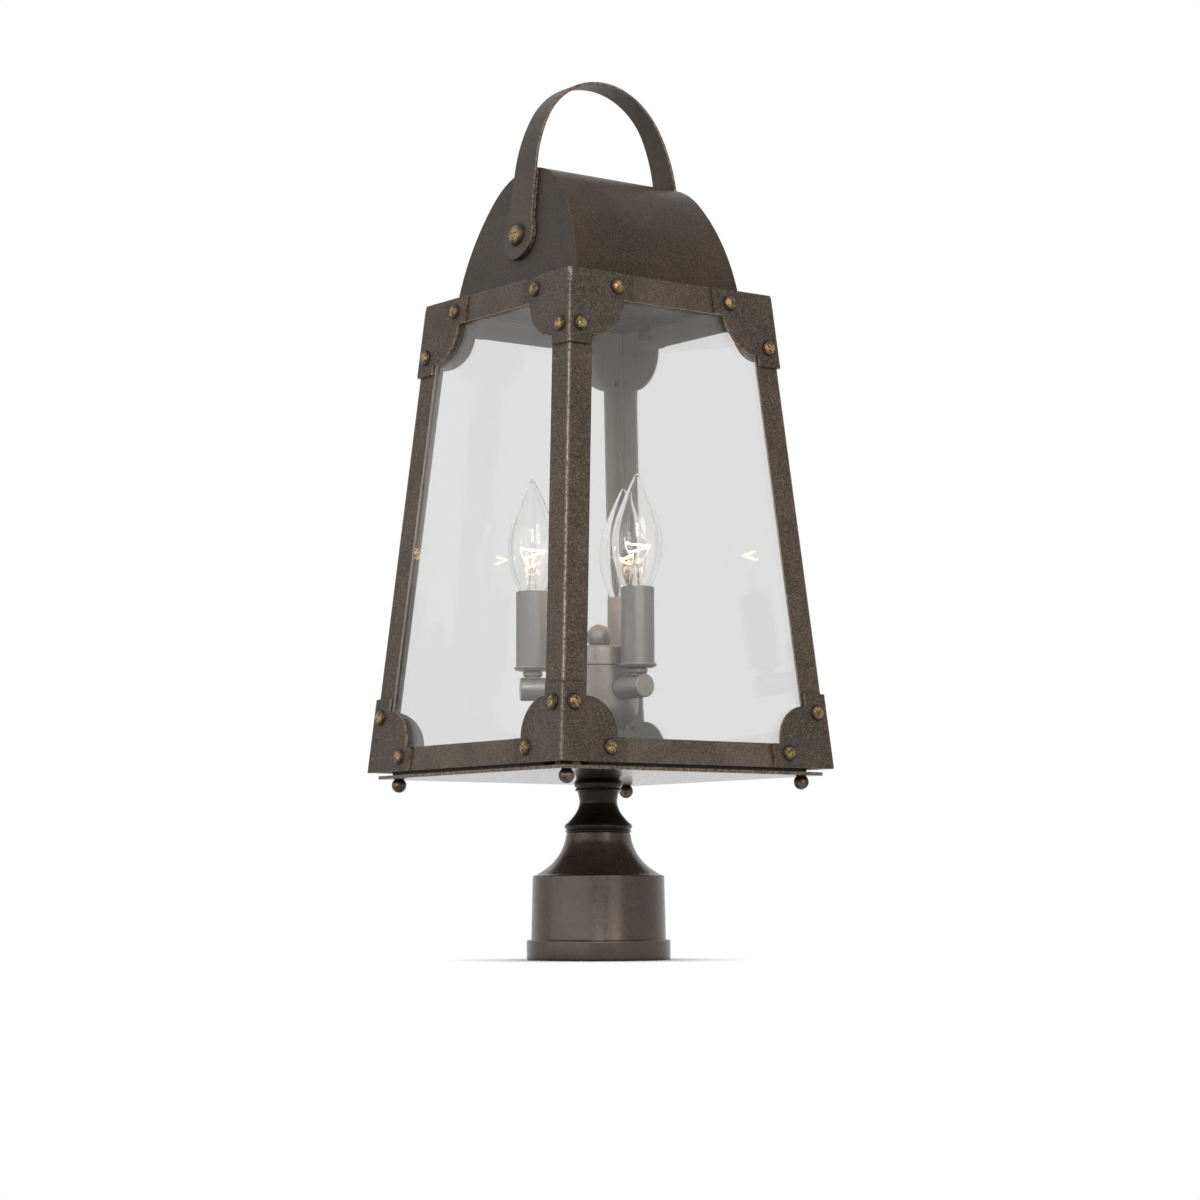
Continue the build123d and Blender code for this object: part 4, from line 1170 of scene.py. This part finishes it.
def make_bulb_base(number, place, body):
    """Screw shell with a rolled thread, and a centre contact."""
    contact_foot, contact_top, contact_radius = foot_of("bulb_base_1"), 211.1, 2.5
    thread_foot, thread_top, shell_radius, steps = 213.2, 229.6, 5.6, 60
    pitch, depth = 2.54, 0.28
    heights = [thread_foot + (thread_top - thread_foot) * i / steps for i in range(steps + 1)]
    shell = [
        (0.0, contact_top), (4.2, contact_top), (4.9, contact_top + 1.1),
        *((shell_radius, h) for h in heights), (5.75, BULB_FOOT - 0.7), (5.85, BULB_FOOT), (0.0, BULB_FOOT),
    ]
    contact = [
        (0.0, contact_foot), (2.1, contact_foot), (contact_radius, contact_foot + 0.5),
        (contact_radius, contact_top), (0.0, contact_top),
    ]

    def thread(angle, height):
        """How far the thread stands out."""
        if not thread_foot < height < thread_top:
            return 0.0
        return depth * math.cos(math.tau * height / pitch - angle)

    mesh = mesh_from(joined([lathe(shell, place, 48, thread), lathe(contact, place, 24)]), "bulb_cap", 50)
    new_piece(f"bulb_cap_{number}", mesh, base_brass, body, [f"bulb_base_{number}"])


def coil_along(start, end, turns, steps, radius, sag):
    """Points of a coil that hangs a little between two places, all in metres."""
    ahead = (end - start).normalized()
    across = ahead.orthogonal().normalized()
    other = ahead.cross(across)
    count = turns * steps
    points = []
    for k in range(count):
        share = k / count
        angle = math.tau * turns * share
        ring = radius * (across * math.cos(angle) + other * math.sin(angle))
        points.append(start.lerp(end, share) + Vector((0.0, 0.0, -sag * math.sin(math.pi * share))) + ring)
    return points


def make_bulb_mount(number, bulb_place, body):
    """Glass stem, two leads and three supports, and a coiled filament strung over them."""
    place = bulb_place @ Matrix.Rotation(math.radians(MOUNT_TURNS[number]), 4, "Z")
    stem = [
        (0.0, 0.0), (4.6, 0.0), (4.3, 1.9), (3.4, 6.9), (2.8, 11.9), (2.4, 16.4), (2.8, 17.9), (2.3, 19.5),
        (0.0, 20.3),
    ]
    mesh = mesh_from(lathe(raised(stem, BULB_FOOT), place, 32), "bulb_stem", 60)
    new_piece(f"bulb_stem_{number}", mesh, bulb_clear, body, [f"bulb_filament_{number}"])

    def spot(point):
        """Place inside the bulb, from millimetres."""
        return place @ (Vector(point) * MM)

    high_end, low_end, hook = (0.5, -7.6, 264.6), (-1.5, -5.4, 258.8), (0.0, 8.0, 262.9)
    right_tip, left_tip = (2.0, 0.2, 263.2), (-2.2, 1.4, 260.6)
    lead, hook_wire, support = 0.26, 0.2, 0.14
    runs = [
        (lead, [(0.2, -1.2, 234), (0.4, -1.6, 246), (0.6, -4.4, 254), (0.6, -7.2, 261), high_end]),
        (lead, [(-0.2, 1.2, 234), (-0.6, 0.9, 246), (-1.0, -1.6, 252), (-1.5, -4.6, 257), low_end]),
        (hook_wire, [(0, 0.6, 248.5), (0.2, 3.0, 253), (0.2, 6.4, 258.4), (0.1, 8.1, 262.2), hook]),
        (support, [(0, 0.0, 248.5), (1.4, -0.6, 254), (2.2, -0.2, 261.6), right_tip]),
        (support, [(0, -0.2, 248.5), (-1.4, 0.6, 253), (-2.3, 1.4, 259.2), left_tip]),
    ]
    wires = [tube_along(flowing([spot(p) for p in run], 6), radius * MM) for radius, run in runs]
    mesh = mesh_from(joined(wires), "bulb_wires", 60)
    new_piece(f"bulb_leads_{number}", mesh, wire_metal, body)
    path = [spot(p) for p in (high_end, right_tip, hook, left_tip, low_end)]
    coil = []
    for start, end in zip(path, path[1:]):
        coil += coil_along(start, end, turns=10, steps=10, radius=0.5 * MM, sag=0.6 * MM)
    mesh = mesh_from(tube_along(coil, 0.13 * MM, 5), "bulb_coil", 60)
    new_piece(f"bulb_coil_{number}", mesh, filament_glow, body)


def make_inner_hardware():
    """Threaded tube and its nuts."""
    worn_copy("nipple", thread_zinc, None, 0.15 * MM)
    worn_copy("nipple_nuts", thread_zinc, None, 0.4 * MM)


make_frame_sheets()
make_barrel()
make_handle()
make_rivets("gusset_rivets", "gusset_rivet_heads", radius=4.95, height=3.0, shank=2.0, lean=BODY_LEAN, seed=7)
make_rivets("handle_rivets", "handle_rivet_heads", radius=7.2, height=4.6, shank=3.0, lean=END_LEAN, seed=11)
make_fitter()
make_neck()
make_ball_screws()
make_cluster()
make_candles()
make_bulbs()
make_inner_hardware()


# Floor, backdrop, light and camera, in metres
def backdrop_rays(net):
    """One for rays that should meet a plain white setting: seen, mirrored or through glass."""
    path = net.add("ShaderNodeLightPath").outputs
    seen = net.calc("MAXIMUM", path["Is Camera Ray"], path["Is Glossy Ray"])
    return net.calc("MAXIMUM", seen, path["Is Transmission Ray"])


def make_floor():
    """Pale floor with the object's shadow, which the view meets as plain white further out."""
    shadow_kept, shadow_gone, floor_radius = 0.05, 0.1, 30.0
    black, white = rgb(0.0, 0.0, 0.0), rgb(1.0, 1.0, 1.0)
    material, net, shader = new_material("pale floor")
    place = net.place()
    seen = backdrop_rays(net)
    distance = net.add("ShaderNodeVectorMath", {0: place}, operation="LENGTH").outputs["Value"]
    far = net.calc("MULTIPLY", net.spread(distance, shadow_kept, shadow_gone), seen)
    grain = net.spread(net.noise(place, 0.4), 0.3, 0.7)
    plain = net.mix(grain, rgb(0.8, 0.8, 0.8), rgb(0.82, 0.82, 0.82))
    net.fill(shader, {
        "Base Color": net.mix(far, net.mix(seen, plain, white), black),
        "Emission Color": net.mix(far, black, white), "Emission Strength": 1.0,
        "Roughness": 0.9, "Specular IOR Level": 0.0,
    })
    bm = bmesh.new()
    bmesh.ops.create_circle(bm, cap_ends=True, segments=96, radius=floor_radius)
    floor = placed("floor", mesh_from(bm, "floor"))
    floor.data.materials.append(material)


def make_world():
    """Plain white setting, which lights the object a little less than it shows."""
    world = bpy.data.worlds.new("studio")
    world.use_nodes = True
    bpy.context.scene.world = world
    net = Network(world.node_tree)
    sky = world.node_tree.nodes["Background"]
    strength = net.spread(backdrop_rays(net), 0.0, 1.0, 0.7, 1.0)
    net.fill(sky, {"Color": rgb(1.0, 1.0, 1.0), "Strength": strength})


def new_lamp(name, kind, place, power, colour):
    """Lamp at a place, with its power in watts."""
    data = bpy.data.lights.new(name, kind)
    data.energy = power
    data.color = colour
    lamp = placed(name, data)
    lamp.location = place
    return lamp


def add_area_lamp(name, place, aim_height, size, power, colour):
    """Soft box that looks at a height on the lantern's axis."""
    lamp = new_lamp(name, "AREA", place, power, colour)
    lamp.data.shape = "RECTANGLE"
    lamp.data.size, lamp.data.size_y = size
    towards = Vector((0.0, 0.0, aim_height)) - Vector(place)
    lamp.rotation_euler = towards.to_track_quat("-Z", "Y").to_euler()
    return lamp


def make_lamps():
    """Key, fill and top light, two lamps that only make highlights, and the light of the lit bulbs."""
    add_area_lamp("key", (2.45, -0.35, 1.4), 0.3, (1.0, 1.6), 22.8, (1.0, 0.93, 0.84))
    add_area_lamp("fill", (0.5, -2.45, 0.9), 0.25, (2.7, 1.8), 21.5, (0.96, 0.98, 1.0))
    add_area_lamp("top", (0.2, -0.2, 2.6), 0.4, (1.6, 1.6), 4.5, (1.0, 1.0, 1.0))
    glint = add_area_lamp("glint", (1.75, -1.3, 1.2), 0.1, (0.7, 0.9), 15.0, (0.88, 0.94, 1.0))
    sheen = add_area_lamp("sheen", (-1.07, -2.15, 0.5), 0.1, (0.8, 1.2), 2.6, (1.0, 0.98, 0.95))
    glint.visible_diffuse = sheen.visible_diffuse = False
    warm = new_lamp("bulb light", "POINT", (0.0, 0.0, 0.295), 0.5, (1.0, 0.75, 0.5))
    warm.data.shadow_soft_size = 0.012
    warm.visible_camera = warm.visible_glossy = warm.visible_transmission = False


def make_camera():
    """Camera fitted to the corners of the frame in the photograph."""
    azimuth, distance, height = math.radians(53.38), 1.967, 0.034
    pitch, yaw, roll = math.radians(5.73), math.radians(-0.042), math.radians(-0.15)
    focal_pixels, image_pixels, sensor = 3056.0, 1200.0, 36.0
    data = bpy.data.cameras.new("camera")
    data.sensor_width = sensor
    data.lens = sensor * focal_pixels / image_pixels
    data.clip_start, data.clip_end = 0.05, 100.0
    camera = placed("camera", data)
    aim = Matrix.Rotation(azimuth + yaw, 4, "Z") @ Matrix.Rotation(math.pi / 2 + pitch, 4, "X")
    spot = (math.sin(azimuth) * distance, -math.cos(azimuth) * distance, height)
    camera.matrix_world = Matrix.Translation(spot) @ aim @ Matrix.Rotation(roll, 4, "Z")
    bpy.context.scene.camera = camera


make_floor()
make_world()
make_lamps()
make_camera()
bpy.context.scene.view_settings.view_transform = "Standard"
